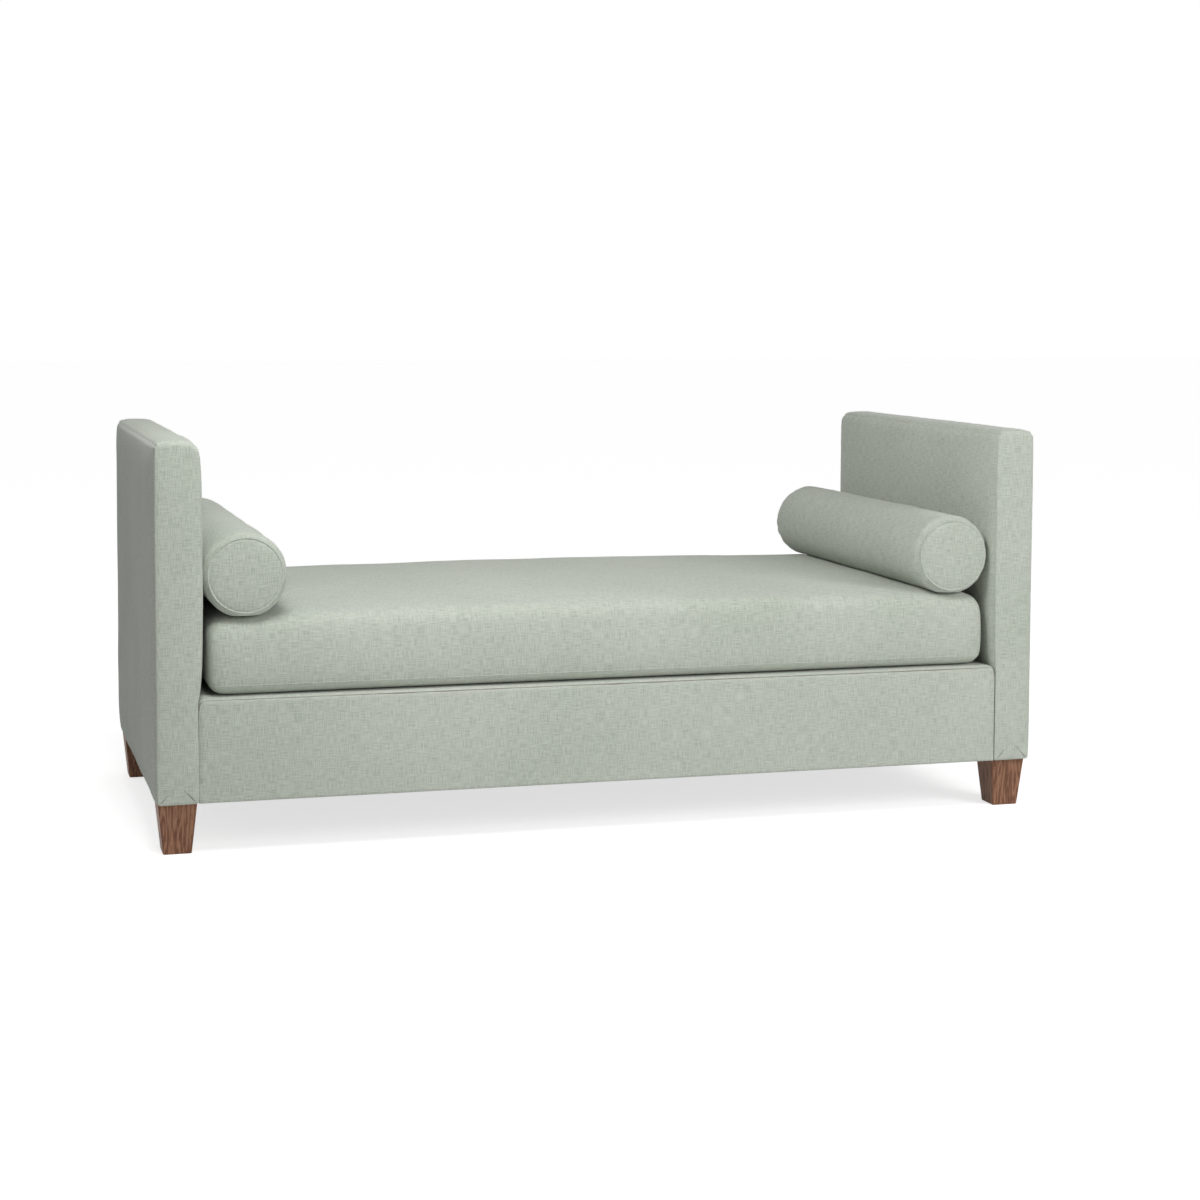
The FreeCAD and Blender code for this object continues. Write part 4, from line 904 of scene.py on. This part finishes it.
def cushion_outline(face, low, high, top_round, low_round, side_puff):
    """Closed outline of the cushion seen from its end: a box with rounded edges whose
    upright faces bow out as a parabola."""
    arc = np.linspace(0, HALF_PI, 8)
    upper = np.stack([face - top_round * (1 - np.cos(arc)),
                      high - top_round * (1 - np.sin(arc))], -1)
    lower = np.stack([face - low_round * (1 - np.sin(arc)),
                      low + low_round * (1 - np.cos(arc))], -1)
    rise = np.linspace(0, 1, 12)[1:-1]
    side = np.stack([face + side_puff * 4 * rise * (1 - rise),
                     low + low_round + (high - top_round - low - low_round) * rise], -1)
    half = np.concatenate([lower, side, upper])
    across = np.linspace(-1, 1, 60)[1:-1]
    top = np.stack([-across * (face - top_round), np.full(len(across), high)], -1)
    bottom = np.stack([across * (face - low_round), np.full(len(across), low)], -1)
    return np.concatenate([half, top, half[::-1] * np.array([-1.0, 1.0]), bottom])


def cushion_end(loop):
    """Rings that close an end of the cushion, drawn in to its middle and slightly full."""
    fullness = 0.5 * MM
    centre = loop.mean(0)
    rings = []
    for share in (0.04, 0.15, 0.35, 0.6, 0.85, 1.0):
        ring = loop + (centre - loop) * share
        ring[:, 0] = loop[:, 0] + np.sign(centre[0]) * fullness * share
        rings.append(ring)
    return np.stack(rings)


def cushion_surface(cushion):
    """Crowned cushion: its outline from the end carried along the length, with a top that
    rises towards the middle both ways, and ends that close over rounded corners."""
    top_round, low_round, side_puff, corner = 34 * MM, 16 * MM, 4 * MM, 22 * MM
    top_end_round, low_end_round, upright_fade = 30 * MM, 22 * MM, 40 * MM
    length_margin, depth_margin, depth_power = 20 * MM, 6 * MM, 2.2
    half_length, half_depth = CUSHION_HIGH[:2] - CUSHION_SHRINK
    low = CUSHION_LOW[2] + CUSHION_SHRINK
    high = CUSHION_LOW[2] + cushion.thickness - CUSHION_SHRINK
    middle = (low + high) / 2
    face = half_depth - side_puff
    outline = cushion_outline(face, low, high, top_round, low_round, side_puff)
    length = end_places(half_length, CUSHION_ENDS, run=44 * MM, step=16 * MM)[:, None]
    distance = half_length - np.abs(length)
    y, z = outline[:, 0][None, :], outline[:, 1][None, :]
    inset = rounded_off(distance, np.where(z > middle, top_end_round, low_end_round))
    upright = ease((np.abs(z - middle) - (high - low) / 2 + upright_fade) / upright_fade)
    new_z = z - np.sign(z - middle) * inset * upright
    new_y = y * (1 - rounded_off(distance, corner) / half_depth)
    over_length = 1 - np.clip(np.abs(length) / (half_length - length_margin), 0, 1) ** 2
    over_depth = 1 - np.clip(np.abs(y) / (face - depth_margin), 0, 1) ** depth_power
    share = cushion.edge_share
    lift = cushion.crown * over_length * (share + (1 - share) * over_depth)
    lift = lift * ease((z - middle) / (high - middle))
    surface = np.stack([np.broadcast_to(length, new_y.shape), new_y, new_z + lift], -1)
    return np.concatenate([cushion_end(surface[0])[::-1], surface, cushion_end(surface[-1])])


def even_mesh(obj, voxel):
    """Remesh a closed form with faces of one size."""
    remesh = obj.modifiers.new("even_mesh", "REMESH")
    remesh.mode = "VOXEL"
    remesh.voxel_size = voxel
    apply_modifiers(obj)


def stuff(obj, pressure, limit):
    """Puff a closed cover out: press it from inside as cloth for some frames, and let no
    point move further than the limit."""
    frames, least = 20, 1e-9
    scene = bpy.context.scene
    before = read_points(obj.data)
    cloth = obj.modifiers.new("stuffing", "CLOTH")
    cloth.settings.use_pressure = True
    cloth.settings.uniform_pressure_force = pressure
    cloth.settings.effector_weights.gravity = 0
    cloth.settings.quality = 4
    cloth.settings.tension_stiffness = 25
    cloth.settings.compression_stiffness = 18
    cloth.settings.shear_stiffness = 8
    cloth.settings.bending_stiffness = 2.5
    cloth.collision_settings.use_collision = False
    cloth.collision_settings.use_self_collision = False
    for number in range(1, frames + 1):
        scene.frame_set(number)
    apply_modifiers(obj)
    scene.frame_set(1)
    moved = read_points(obj.data) - before
    far = np.linalg.norm(moved, axis=1, keepdims=True)
    write_points(obj.data, before + moved * np.minimum(1, limit / np.maximum(far, least)))


def apply_modifiers(obj):
    """Replace the mesh by what its modifiers make of it."""
    graph = bpy.context.evaluated_depsgraph_get()
    graph.update()
    made = bpy.data.meshes.new_from_object(obj.evaluated_get(graph))
    obj.modifiers.clear()
    old = obj.data
    obj.data = made
    bpy.data.meshes.remove(old)


def smooth_points(mesh, rounds, share=0.5):
    """Move each vertex towards the mean of its neighbours, a number of times."""
    edges = np.empty(len(mesh.edges) * 2, np.int32)
    mesh.edges.foreach_get("vertices", edges)
    first, second = edges.reshape(-1, 2).T
    count = np.bincount(np.concatenate([first, second]), minlength=len(mesh.vertices))
    points = read_points(mesh)
    for _ in range(rounds):
        total = np.zeros_like(points)
        np.add.at(total, first, points[second])
        np.add.at(total, second, points[first])
        points = points + share * (total / count[:, None] - points)
    write_points(mesh, points)


def press_under_bolsters(points):
    """Keep the cushion's top just under the round of each bolster."""
    gap, deepest, top_from = 0.4 * MM, 4 * MM, 100 * MM
    radius = bpy.context.scene.divan.bolster.radius
    middle = (BOLSTER_LOW[0] + BOLSTER_HIGH[0]) / 2
    offset = np.abs(np.abs(points[:, 0]) - middle)
    underside = bolster_axis() - np.sqrt(radius ** 2 - np.clip(offset, 0, radius) ** 2)
    underside = np.maximum(underside, BOLSTER_LOW[2] - deepest) - gap
    on_top = ((points[:, 2] > CUSHION_LOW[2] + top_from) & (offset < radius)
              & (np.abs(points[:, 1]) < BOLSTER_HIGH[1]))
    points[:, 2] = np.where(on_top, np.minimum(points[:, 2], underside), points[:, 2])
    return points


def build_cushion():
    """The seat cushion: a crowned closed form, stuffed, then laid flat on the deck."""
    spare_depth, spare_height, calm_low, calm_fade = 2 * MM, 4 * MM, 8 * MM, 12 * MM
    cushion = bpy.context.scene.divan.cushion
    points = cushion_surface(cushion)
    rows, columns = points.shape[:2]
    obj = new_mesh("seat_cushion", points, grid_faces(rows, columns, True))
    even_mesh(obj, CUSHION_VOXEL)
    stuff(obj, cushion.pressure, cushion.swell_limit)
    smooth_points(obj.data, 3)
    finer = obj.modifiers.new("finer", "SUBSURF")
    finer.levels = finer.render_levels = 1
    apply_modifiers(obj)
    mesh = obj.data
    points = read_points(mesh)
    up = ease((points[:, 2] - CUSHION_LOW[2] - calm_low) / calm_fade)
    uneven = 0.9 * MM * ripples(points, 330 * MM, 61) + 0.35 * MM * ripples(
        points, 120 * MM, 62)
    points = points + read_normals(mesh) * (up * uneven)[:, None]
    points = np.clip(points, CUSHION_LOW - np.array([0, spare_depth, 0]),
                     CUSHION_HIGH + np.array([0, spare_depth, spare_height]))
    write_points(mesh, press_under_bolsters(points))
    mesh.polygons.foreach_set("use_smooth", np.ones(len(mesh.polygons), bool))
    weave_by_side(obj)
    return obj


def seam_round(piece, height, radius):
    """Fine raised seam round an upholstered piece: a thin tube along the line in which a
    level plane meets its upright faces."""
    mesh = piece.data
    tree = BVHTree.FromPolygons([vertex.co for vertex in mesh.vertices],
                                [face.vertices for face in mesh.polygons])
    half = (CUSHION_HIGH - CUSHION_LOW) / 2
    corner, stand_off, search, flatness = 26 * MM, 60 * MM, 150 * MM, 0.6
    straight = [np.linspace(-half[axis] + corner, half[axis] - corner, count)
                for axis, count in ((0, 140), (1, 76))]
    arc = np.linspace(0, HALF_PI, 10)[1:-1]
    start, way = [], []
    for turn in range(4):
        axis = turn % 2
        out = np.array([math.sin(turn * HALF_PI), -math.cos(turn * HALF_PI)])
        along = np.array([-out[1], out[0]])
        line = straight[axis][:, None] * along + out * half[1 - axis]
        start.append(line)
        way.append(np.broadcast_to(out, line.shape))
        turned = np.cos(arc)[:, None] * out + np.sin(arc)[:, None] * along
        middle = along * (half[axis] - corner) + out * (half[1 - axis] - corner)
        start.append(middle + corner * turned)
        way.append(turned)
    start, way = np.concatenate(start), np.concatenate(way)
    hits = []
    for place, out in zip(start, way):
        origin = Vector((*(place + stand_off * out), height))
        hit = tree.ray_cast(origin, Vector((*(-out), 0)), search)[0]
        hits.append(hit if hit is not None else Vector((*place, height)))
    line = np.array(hits)
    turns = np.linspace(0, 2 * math.pi, 9)[:-1]
    outward = np.concatenate([way, np.zeros((len(way), 1))], 1)
    tube = line[:, None] + radius * (
        np.cos(turns)[None, :, None] * outward[:, None] * flatness
        + np.sin(turns)[None, :, None] * np.array([0, 0, 1.0]))
    tube = np.concatenate([tube, tube[:1]])
    return new_mesh("seat_cushion_seam", tube, grid_faces(len(tube), len(turns), True))


class DIVAN_OT_cushion(bpy.types.Operator):
    """Build the loose seat cushion"""
    bl_idname = "divan.cushion"
    bl_label = "Seat Cushion"

    def execute(self, context):
        cushion = build_cushion()
        dress(cushion, material("sage_cover_cloth"), "cover_cloth", "seat_cushion",
              "seat_cushion_cover", "seat_cushion_core")
        height = CUSHION_LOW[2] + context.scene.divan.cushion.seam_height
        seam = seam_round(cushion, height, 1.3 * MM)
        weave_by_side(seam)
        dress(seam, material("sage_cover_cloth"), "cover_cloth", "seat_cushion")
        return {"FINISHED"}


# Bolsters


def bolster_axis():
    """Height of the middle line of the bolsters."""
    return BOLSTER_HIGH[2] - bpy.context.scene.divan.bolster.radius


def bolster_line(bolster):
    """Half of a bolster's outline from the middle of its length to the middle of its cap.

    Body, quarter ellipse shoulder, seam ring with a fine ridge, and puffed cap; gives
    distance along the axis, radius, length along the outline and where the cap starts.
    """
    ring_end = bolster.ring_spacing / 2
    body_end = ring_end - bolster.shoulder
    body = np.linspace(0, body_end, 40)[:-1]
    arc = np.linspace(0, HALF_PI, 16)
    drop = bolster.radius - bolster.ring_radius
    shoulder_y = body_end + bolster.shoulder * np.sin(arc)
    shoulder_r = bolster.ring_radius + drop * np.cos(arc)
    seam = np.array([[0.4, 1.0], [1.0, 1.6], [1.8, 1.7], [2.5, 1.1], [2.7, 0.1], [2.3, -0.9],
                     [1.7, -1.8], [1.3, -2.8]]) * MM
    seam_y = ring_end + seam[:, 0]
    seam_r = bolster.ring_radius + seam[:, 1]
    cap_r = spaced([seam_r[-1] - 0.8 * MM, seam_r[-1] * 0.8, 0.0], [10, 16])
    share = cap_r / seam_r[-1]
    cap_y = seam_y[-1] + bolster.cap_puff * np.sqrt(np.clip(1 - share ** 2.2, 0, 1))
    y = np.concatenate([body, shoulder_y, seam_y, cap_y])
    r = np.concatenate([np.full(len(body), bolster.radius), shoulder_r, seam_r, cap_r])
    length = np.concatenate([[0], np.cumsum(np.hypot(np.diff(y), np.diff(r)))])
    return y, r, length, len(body) + len(arc)


def build_bolster(name, mirror, seed):
    """One bolster: its outline turned about its axis, gathered a little behind each ring,
    flattened where it rests and where it meets the arm."""
    bolster = bpy.context.scene.divan.bolster
    y, r, length, cap_start = bolster_line(bolster)
    full_y = np.concatenate([-y[::-1], y[1:]])
    full_r = np.concatenate([r[::-1], r[1:]])
    full_length = np.concatenate([-length[::-1], length[1:]])
    is_cap = np.zeros(len(y), bool)
    is_cap[cap_start:] = True
    cap = np.concatenate([is_cap[::-1], is_cap[1:]])[:, None]
    angles = np.linspace(0, 2 * math.pi, 161)[:-1]
    from_ring = np.abs(np.abs(full_y) - bolster.ring_spacing / 2)[:, None]
    body = ~cap
    turn = np.stack(np.broadcast_arrays(np.cos(angles)[None, :], np.sin(angles)[None, :],
                                        np.sign(full_y)[:, None]), -1)
    gathers = ripples(turn * bolster.radius, 24 * MM, seed) * 0.55 * MM
    gathers = gathers * bump(from_ring, 9 * MM, 16 * MM) * body
    field = np.stack(np.broadcast_arrays(
        full_r[:, None] * np.cos(angles), full_y[:, None] * 1.0 + 0 * angles,
        full_r[:, None] * np.sin(angles)), -1)
    soft = 0.7 * MM * ripples(field, 190 * MM, seed + 1) + 0.25 * MM * ripples(
        field, 70 * MM, seed + 2)
    pinch = 1.8 * MM * bump(from_ring, 5 * MM, 4.5 * MM) * body
    radius = full_r[:, None] + (gathers + soft * body) - pinch
    radius = np.maximum(radius, 0) * np.ones_like(angles)
    radius[0], radius[-1] = 0.0, 0.0
    x = radius * np.cos(angles)
    z = radius * np.sin(angles)
    puffed_y = full_y[:, None] + cap * np.sign(full_y)[:, None] * 0.5 * soft * (
        full_r[:, None] < 0.9 * bolster.ring_radius)
    puffed_y = puffed_y * np.ones_like(x)
    rest_flat, rest_give = bolster.radius - 5 * MM, 0.15
    side_flat, side_give = bolster.radius - 0.6 * MM, 0.3
    z = np.where(z < -rest_flat, -rest_flat + rest_give * (z + rest_flat), z)
    x = np.where(x > side_flat, side_flat + side_give * (x - side_flat), x)
    middle = (BOLSTER_LOW[0] + BOLSTER_HIGH[0]) / 2
    points = np.stack([middle + x, puffed_y, bolster_axis() + z], -1)
    weave = np.stack([angles[None, :] * bolster.radius + 0 * full_length[:, None],
                      full_length[:, None] + 0 * angles[None, :]], -1)
    cap_weave = np.stack([x, z], -1)
    weave = np.where(cap[..., None], cap_weave, weave)
    if mirror:
        points = mirror_across(points)
    rows, columns = points.shape[:2]
    points = np.concatenate([points, points[:, :1]], 1)
    seam_weave = weave[:, :1] + np.where(cap[..., None], 0.0, np.array(
        [2 * math.pi * bolster.radius, 0.0]))
    weave = np.concatenate([weave, seam_weave], 1)
    return new_mesh(name, points, grid_faces(rows, columns + 1, False), weave)


class DIVAN_OT_bolsters(bpy.types.Operator):
    """Build both loose bolsters"""
    bl_idname = "divan.bolsters"
    bl_label = "Bolsters"

    def execute(self, context):
        for side, mirror, seed in (("right", False, 71), ("left", True, 83)):
            bolster = build_bolster(f"{side}_round_bolster", mirror, seed)
            dress(bolster, material("sage_cover_cloth"), "cover_cloth", f"{side}_bolster",
                  f"{side}_bolster_cover", f"{side}_bolster_core")
        return {"FINISHED"}


# Legs


LEG_TAPER = 11 * MM
LEG_TOP_BAND = 0.6 * MM


def build_leg(node):
    """One tapered leg: a rounded square carried up from the foot to the arm, with its
    edges eased all round."""
    low, high = (np.array(corner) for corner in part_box(node))
    round_edge = bpy.context.scene.divan.leg.edge_round
    middle = (low + high) / 2
    top_half = (high[0] - low[0]) / 2
    foot_half = top_half - LEG_TAPER
    tall = high[2] - low[2]
    levels = spaced([0, round_edge, tall - LEG_TOP_BAND, tall], [6, 20, 4])
    half = foot_half + (top_half - foot_half) * levels / tall
    half = half - rounded_off(levels, round_edge)
    arc = np.linspace(0, HALF_PI, 7)
    loops = []
    for number in range(4):
        turn = number * HALF_PI
        diagonal = turn + HALF_PI / 2
        way = np.stack([np.cos(arc + turn), np.sin(arc + turn)], -1)
        corner = math.sqrt(2) * np.array([math.cos(diagonal), math.sin(diagonal)])
        centre = corner[None, :] * (half - round_edge)[:, None]
        loops.append(centre[:, None, :] + round_edge * way[None])
    ring = np.concatenate(loops, 1)
    height = np.broadcast_to(levels[:, None, None], ring.shape[:2] + (1,))
    body = np.concatenate([ring, height], -1)
    foot, cap = (end * np.array([0, 0, 1.0]) for end in (body[0], body[-1]))
    points = np.concatenate([foot[None], body, cap[None]])
    points = points + np.array([middle[0], middle[1], low[2]])
    rows, columns = points.shape[:2]
    return new_mesh(node.replace("_leg", "_tapered_leg"), points,
                    grid_faces(rows, columns, True))


class DIVAN_OT_legs(bpy.types.Operator):
    """Build the four tapered legs"""
    bl_idname = "divan.legs"
    bl_label = "Legs"

    def execute(self, context):
        for node in ("left_front_leg", "left_back_leg", "right_front_leg", "right_back_leg"):
            leg = build_leg(node)
            dress(leg, material("stained_leg_wood"), "leg_wood", "frame", node)
            edges = leg.modifiers.new("flat_faces", "WEIGHTED_NORMAL")
            edges.keep_sharp = True
        return {"FINISHED"}


# Inner parts


INNER_FINISHES = {
    "foam": "cream_foam", "felt": "grey_felt", "webbing": "strap_web",
    "frame_wood": "frame_wood", "hardware": "zinc_steel", "leg_wood": "stained_leg_wood",
    "cover_cloth": "sage_deck_cloth", "base_cloth": "black_base_cloth",
}


class DIVAN_OT_inner_parts(bpy.types.Operator):
    """Give the parts inside the divan their materials"""
    bl_idname = "divan.inner_parts"
    bl_label = "Inner Parts"

    def execute(self, context):
        slots = {part["node"]: part["material_slot"] for part in frame["record"]["subparts"]}
        for name, node in frame["nodes"].items():
            finish = material(INNER_FINISHES[slots[name]])
            node.data.materials.clear()
            node.data.materials.append(finish)
        return {"FINISHED"}


# Stage


CAMERA_PLACE = Vector((-1.4027, -5.1183, 1.1212))
CAMERA_TURN = 0.27184
CAMERA_TILT = 0.06730
CAMERA_ROLL = 0.00308
PHOTO_SIDE = 1200
PHOTO_MIDDLE = (570 / PHOTO_SIDE, 460 / PHOTO_SIDE)
SENSOR_WIDTH = 36
FARTHEST_SEEN = 200
FLOOR_REACH = 40.0
FLOOR_SHADE = (0.86, 0.86, 0.86, 1.0)
FLOOR_GLOW = 0.70
WHITE = (1.0, 1.0, 1.0, 1.0)
SUN_AIM = (0, 0, 0.4)
OVERHEAD_PLACE, OVERHEAD_SPREAD = (0, 2, 5), math.radians(70)
FRONT_PLACE, FRONT_SPREAD = (0.6, -5, 1.6), math.radians(50)
SEAT_LAMP_PLACE, SEAT_LAMP_AIM, SEAT_LAMP_SIDE = (-0.75, -1.1, 2.2), (0.9, 0.1, 0.55), 0.9
NEAR_LAMP_PLACE, NEAR_LAMP_AIM, NEAR_LAMP_SIDE = (2.3, -2.6, 1.7), (0.9, -0.4, 0.5), 1.2


def aim_camera(stage):
    """Camera from its turn about the upright, its tilt down and its roll."""
    turn, tilt, roll = CAMERA_TURN, CAMERA_TILT, CAMERA_ROLL
    ahead = Vector((math.sin(turn) * math.cos(tilt), math.cos(turn) * math.cos(tilt),
                    -math.sin(tilt)))
    right = Vector((math.cos(turn), -math.sin(turn), 0))
    up = right.cross(ahead)
    rolled_right = math.cos(roll) * right + math.sin(roll) * up
    rolled_up = math.cos(roll) * up - math.sin(roll) * right
    data = bpy.data.cameras.new("photo_camera")
    data.lens = stage.lens
    data.sensor_width = SENSOR_WIDTH
    data.shift_x = 0.5 - PHOTO_MIDDLE[0]
    data.shift_y = PHOTO_MIDDLE[1] - 0.5
    data.clip_end = FARTHEST_SEEN
    camera = bpy.data.objects.new("photo_camera", data)
    turned = Matrix((rolled_right, rolled_up, -ahead)).transposed().to_4x4()
    camera.matrix_world = Matrix.Translation(CAMERA_PLACE) @ turned
    bpy.context.scene.collection.objects.link(camera)
    bpy.context.scene.camera = camera


def looked_at(tree):
    """1 where the camera, or a glossy or clear surface, looks straight at it, else 0."""
    path = tree.nodes.new("ShaderNodeLightPath")
    seen = path.outputs["Is Camera Ray"]
    for ray in ("Is Glossy Ray", "Is Transmission Ray"):
        either = tree.nodes.new("ShaderNodeMath")
        either.operation = "MAXIMUM"
        tree.links.new(seen, either.inputs[0])
        tree.links.new(path.outputs[ray], either.inputs[1])
        seen = either.outputs[0]
    return seen


def light_world(stage):
    """Even pale light all round, seen as plain white."""
    world = bpy.data.worlds.new("studio_air")
    bpy.context.scene.world = world
    world.use_nodes = True
    tree = world.node_tree
    tree.nodes.clear()
    air = tree.nodes.new("ShaderNodeBackground")
    air.inputs["Color"].default_value = WHITE
    air.inputs["Strength"].default_value = stage.sky
    white = tree.nodes.new("ShaderNodeBackground")
    white.inputs["Color"].default_value = WHITE
    white.inputs["Strength"].default_value = 1.0
    mix = tree.nodes.new("ShaderNodeMixShader")
    tree.links.new(looked_at(tree), mix.inputs[0])
    tree.links.new(air.outputs[0], mix.inputs[1])
    tree.links.new(white.outputs[0], mix.inputs[2])
    output = tree.nodes.new("ShaderNodeOutputWorld")
    tree.links.new(mix.outputs[0], output.inputs[0])


def add_lamp(name, kind, place, target, strength, size):
    """A soft lamp at a place, turned to a target: a square of some side, or a sun as wide
    as some angle."""
    data = bpy.data.lights.new(name, kind)
    data.energy = strength
    if kind == "AREA":
        data.shape = "RECTANGLE"
        data.size = data.size_y = size
    else:
        data.angle = size
    lamp = bpy.data.objects.new(name, data)
    lamp.location = place
    lamp.rotation_euler = (Vector(target) - Vector(place)).to_track_quat("-Z", "Y").to_euler()
    bpy.context.scene.collection.objects.link(lamp)


def build_floor():
    """Large pale floor with its far edge out of sight, which shows the soft shadow."""
    points = FLOOR_REACH * np.array([[-1, -1, 0], [1, -1, 0], [1, 1, 0], [-1, 1, 0]])
    floor = new_mesh("studio_floor", points, np.array([[0, 1, 2, 3]]))
    made = bpy.data.materials.new("pale_floor")
    made.use_nodes = True
    tree = made.node_tree
    tree.nodes.clear()
    matt = tree.nodes.new("ShaderNodeBsdfDiffuse")
    matt.inputs["Color"].default_value = FLOOR_SHADE
    glow = tree.nodes.new("ShaderNodeEmission")
    glow.inputs["Color"].default_value = WHITE
    lift = tree.nodes.new("ShaderNodeMath")
    lift.operation = "MULTIPLY"
    tree.links.new(looked_at(tree), lift.inputs[0])
    lift.inputs[1].default_value = FLOOR_GLOW
    tree.links.new(lift.outputs[0], glow.inputs["Strength"])
    both = tree.nodes.new("ShaderNodeAddShader")
    tree.links.new(matt.outputs[0], both.inputs[0])
    tree.links.new(glow.outputs[0], both.inputs[1])
    output = tree.nodes.new("ShaderNodeOutputMaterial")
    tree.links.new(both.outputs[0], output.inputs["Surface"])
    floor.data.materials.append(made)


class DIVAN_OT_stage(bpy.types.Operator):
    """Set up the floor, the lamps and the camera"""
    bl_idname = "divan.stage"
    bl_label = "Stage"

    def execute(self, context):
        stage = context.scene.divan.stage
        context.scene.view_settings.view_transform = "Standard"
        aim_camera(stage)
        light_world(stage)
        build_floor()
        add_lamp("overhead_light", "SUN", OVERHEAD_PLACE, SUN_AIM, stage.overhead,
                 OVERHEAD_SPREAD)
        add_lamp("front_light", "SUN", FRONT_PLACE, SUN_AIM, stage.front, FRONT_SPREAD)
        add_lamp("seat_lamp", "AREA", SEAT_LAMP_PLACE, SEAT_LAMP_AIM, stage.seat_lamp,
                 SEAT_LAMP_SIDE)
        add_lamp("near_lamp", "AREA", NEAR_LAMP_PLACE, NEAR_LAMP_AIM, stage.near_lamp,
                 NEAR_LAMP_SIDE)
        return {"FINISHED"}


class DIVAN_PT_panel(bpy.types.Panel):
    """Sidebar panel of the divan"""
    bl_label = "Backless Divan"
    bl_space_type = "VIEW_3D"
    bl_region_type = "UI"
    bl_category = "Divan"

    def draw(self, context):
        layout = self.layout
        settings = context.scene.divan
        for group in ("cover", "arm", "cushion", "bolster", "leg", "stage"):
            box = layout.box()
            box.label(text=group.capitalize())
            values = getattr(settings, group)
            for key in values.bl_rna.properties.keys():
                if key not in ("rna_type", "name"):
                    box.prop(values, key)
        for operator in OPERATORS:
            layout.operator(operator.bl_idname)


OPERATORS = (DIVAN_OT_stage, DIVAN_OT_inner_parts, DIVAN_OT_arms, DIVAN_OT_base,
             DIVAN_OT_underside, DIVAN_OT_cushion, DIVAN_OT_bolsters, DIVAN_OT_legs)
CLASSES = (CoverSettings, ArmSettings, CushionSettings, BolsterSettings, LegSettings,
           StageSettings, DivanSettings, *OPERATORS, DIVAN_PT_panel)


def register():
    """Register the classes and the settings."""
    for item in CLASSES:
        bpy.utils.register_class(item)
    bpy.types.Scene.divan = bpy.props.PointerProperty(type=DivanSettings)


def unregister():
    """Remove the settings and the classes."""
    del bpy.types.Scene.divan
    for item in reversed(CLASSES):
        bpy.utils.unregister_class(item)


def main():
    """Build the whole divan."""
    register()
    for operator in OPERATORS:
        family, name = operator.bl_idname.split(".")
        getattr(getattr(bpy.ops, family), name)()
    bpy.context.view_layer.update()


if __name__ == "__main__":
    main()
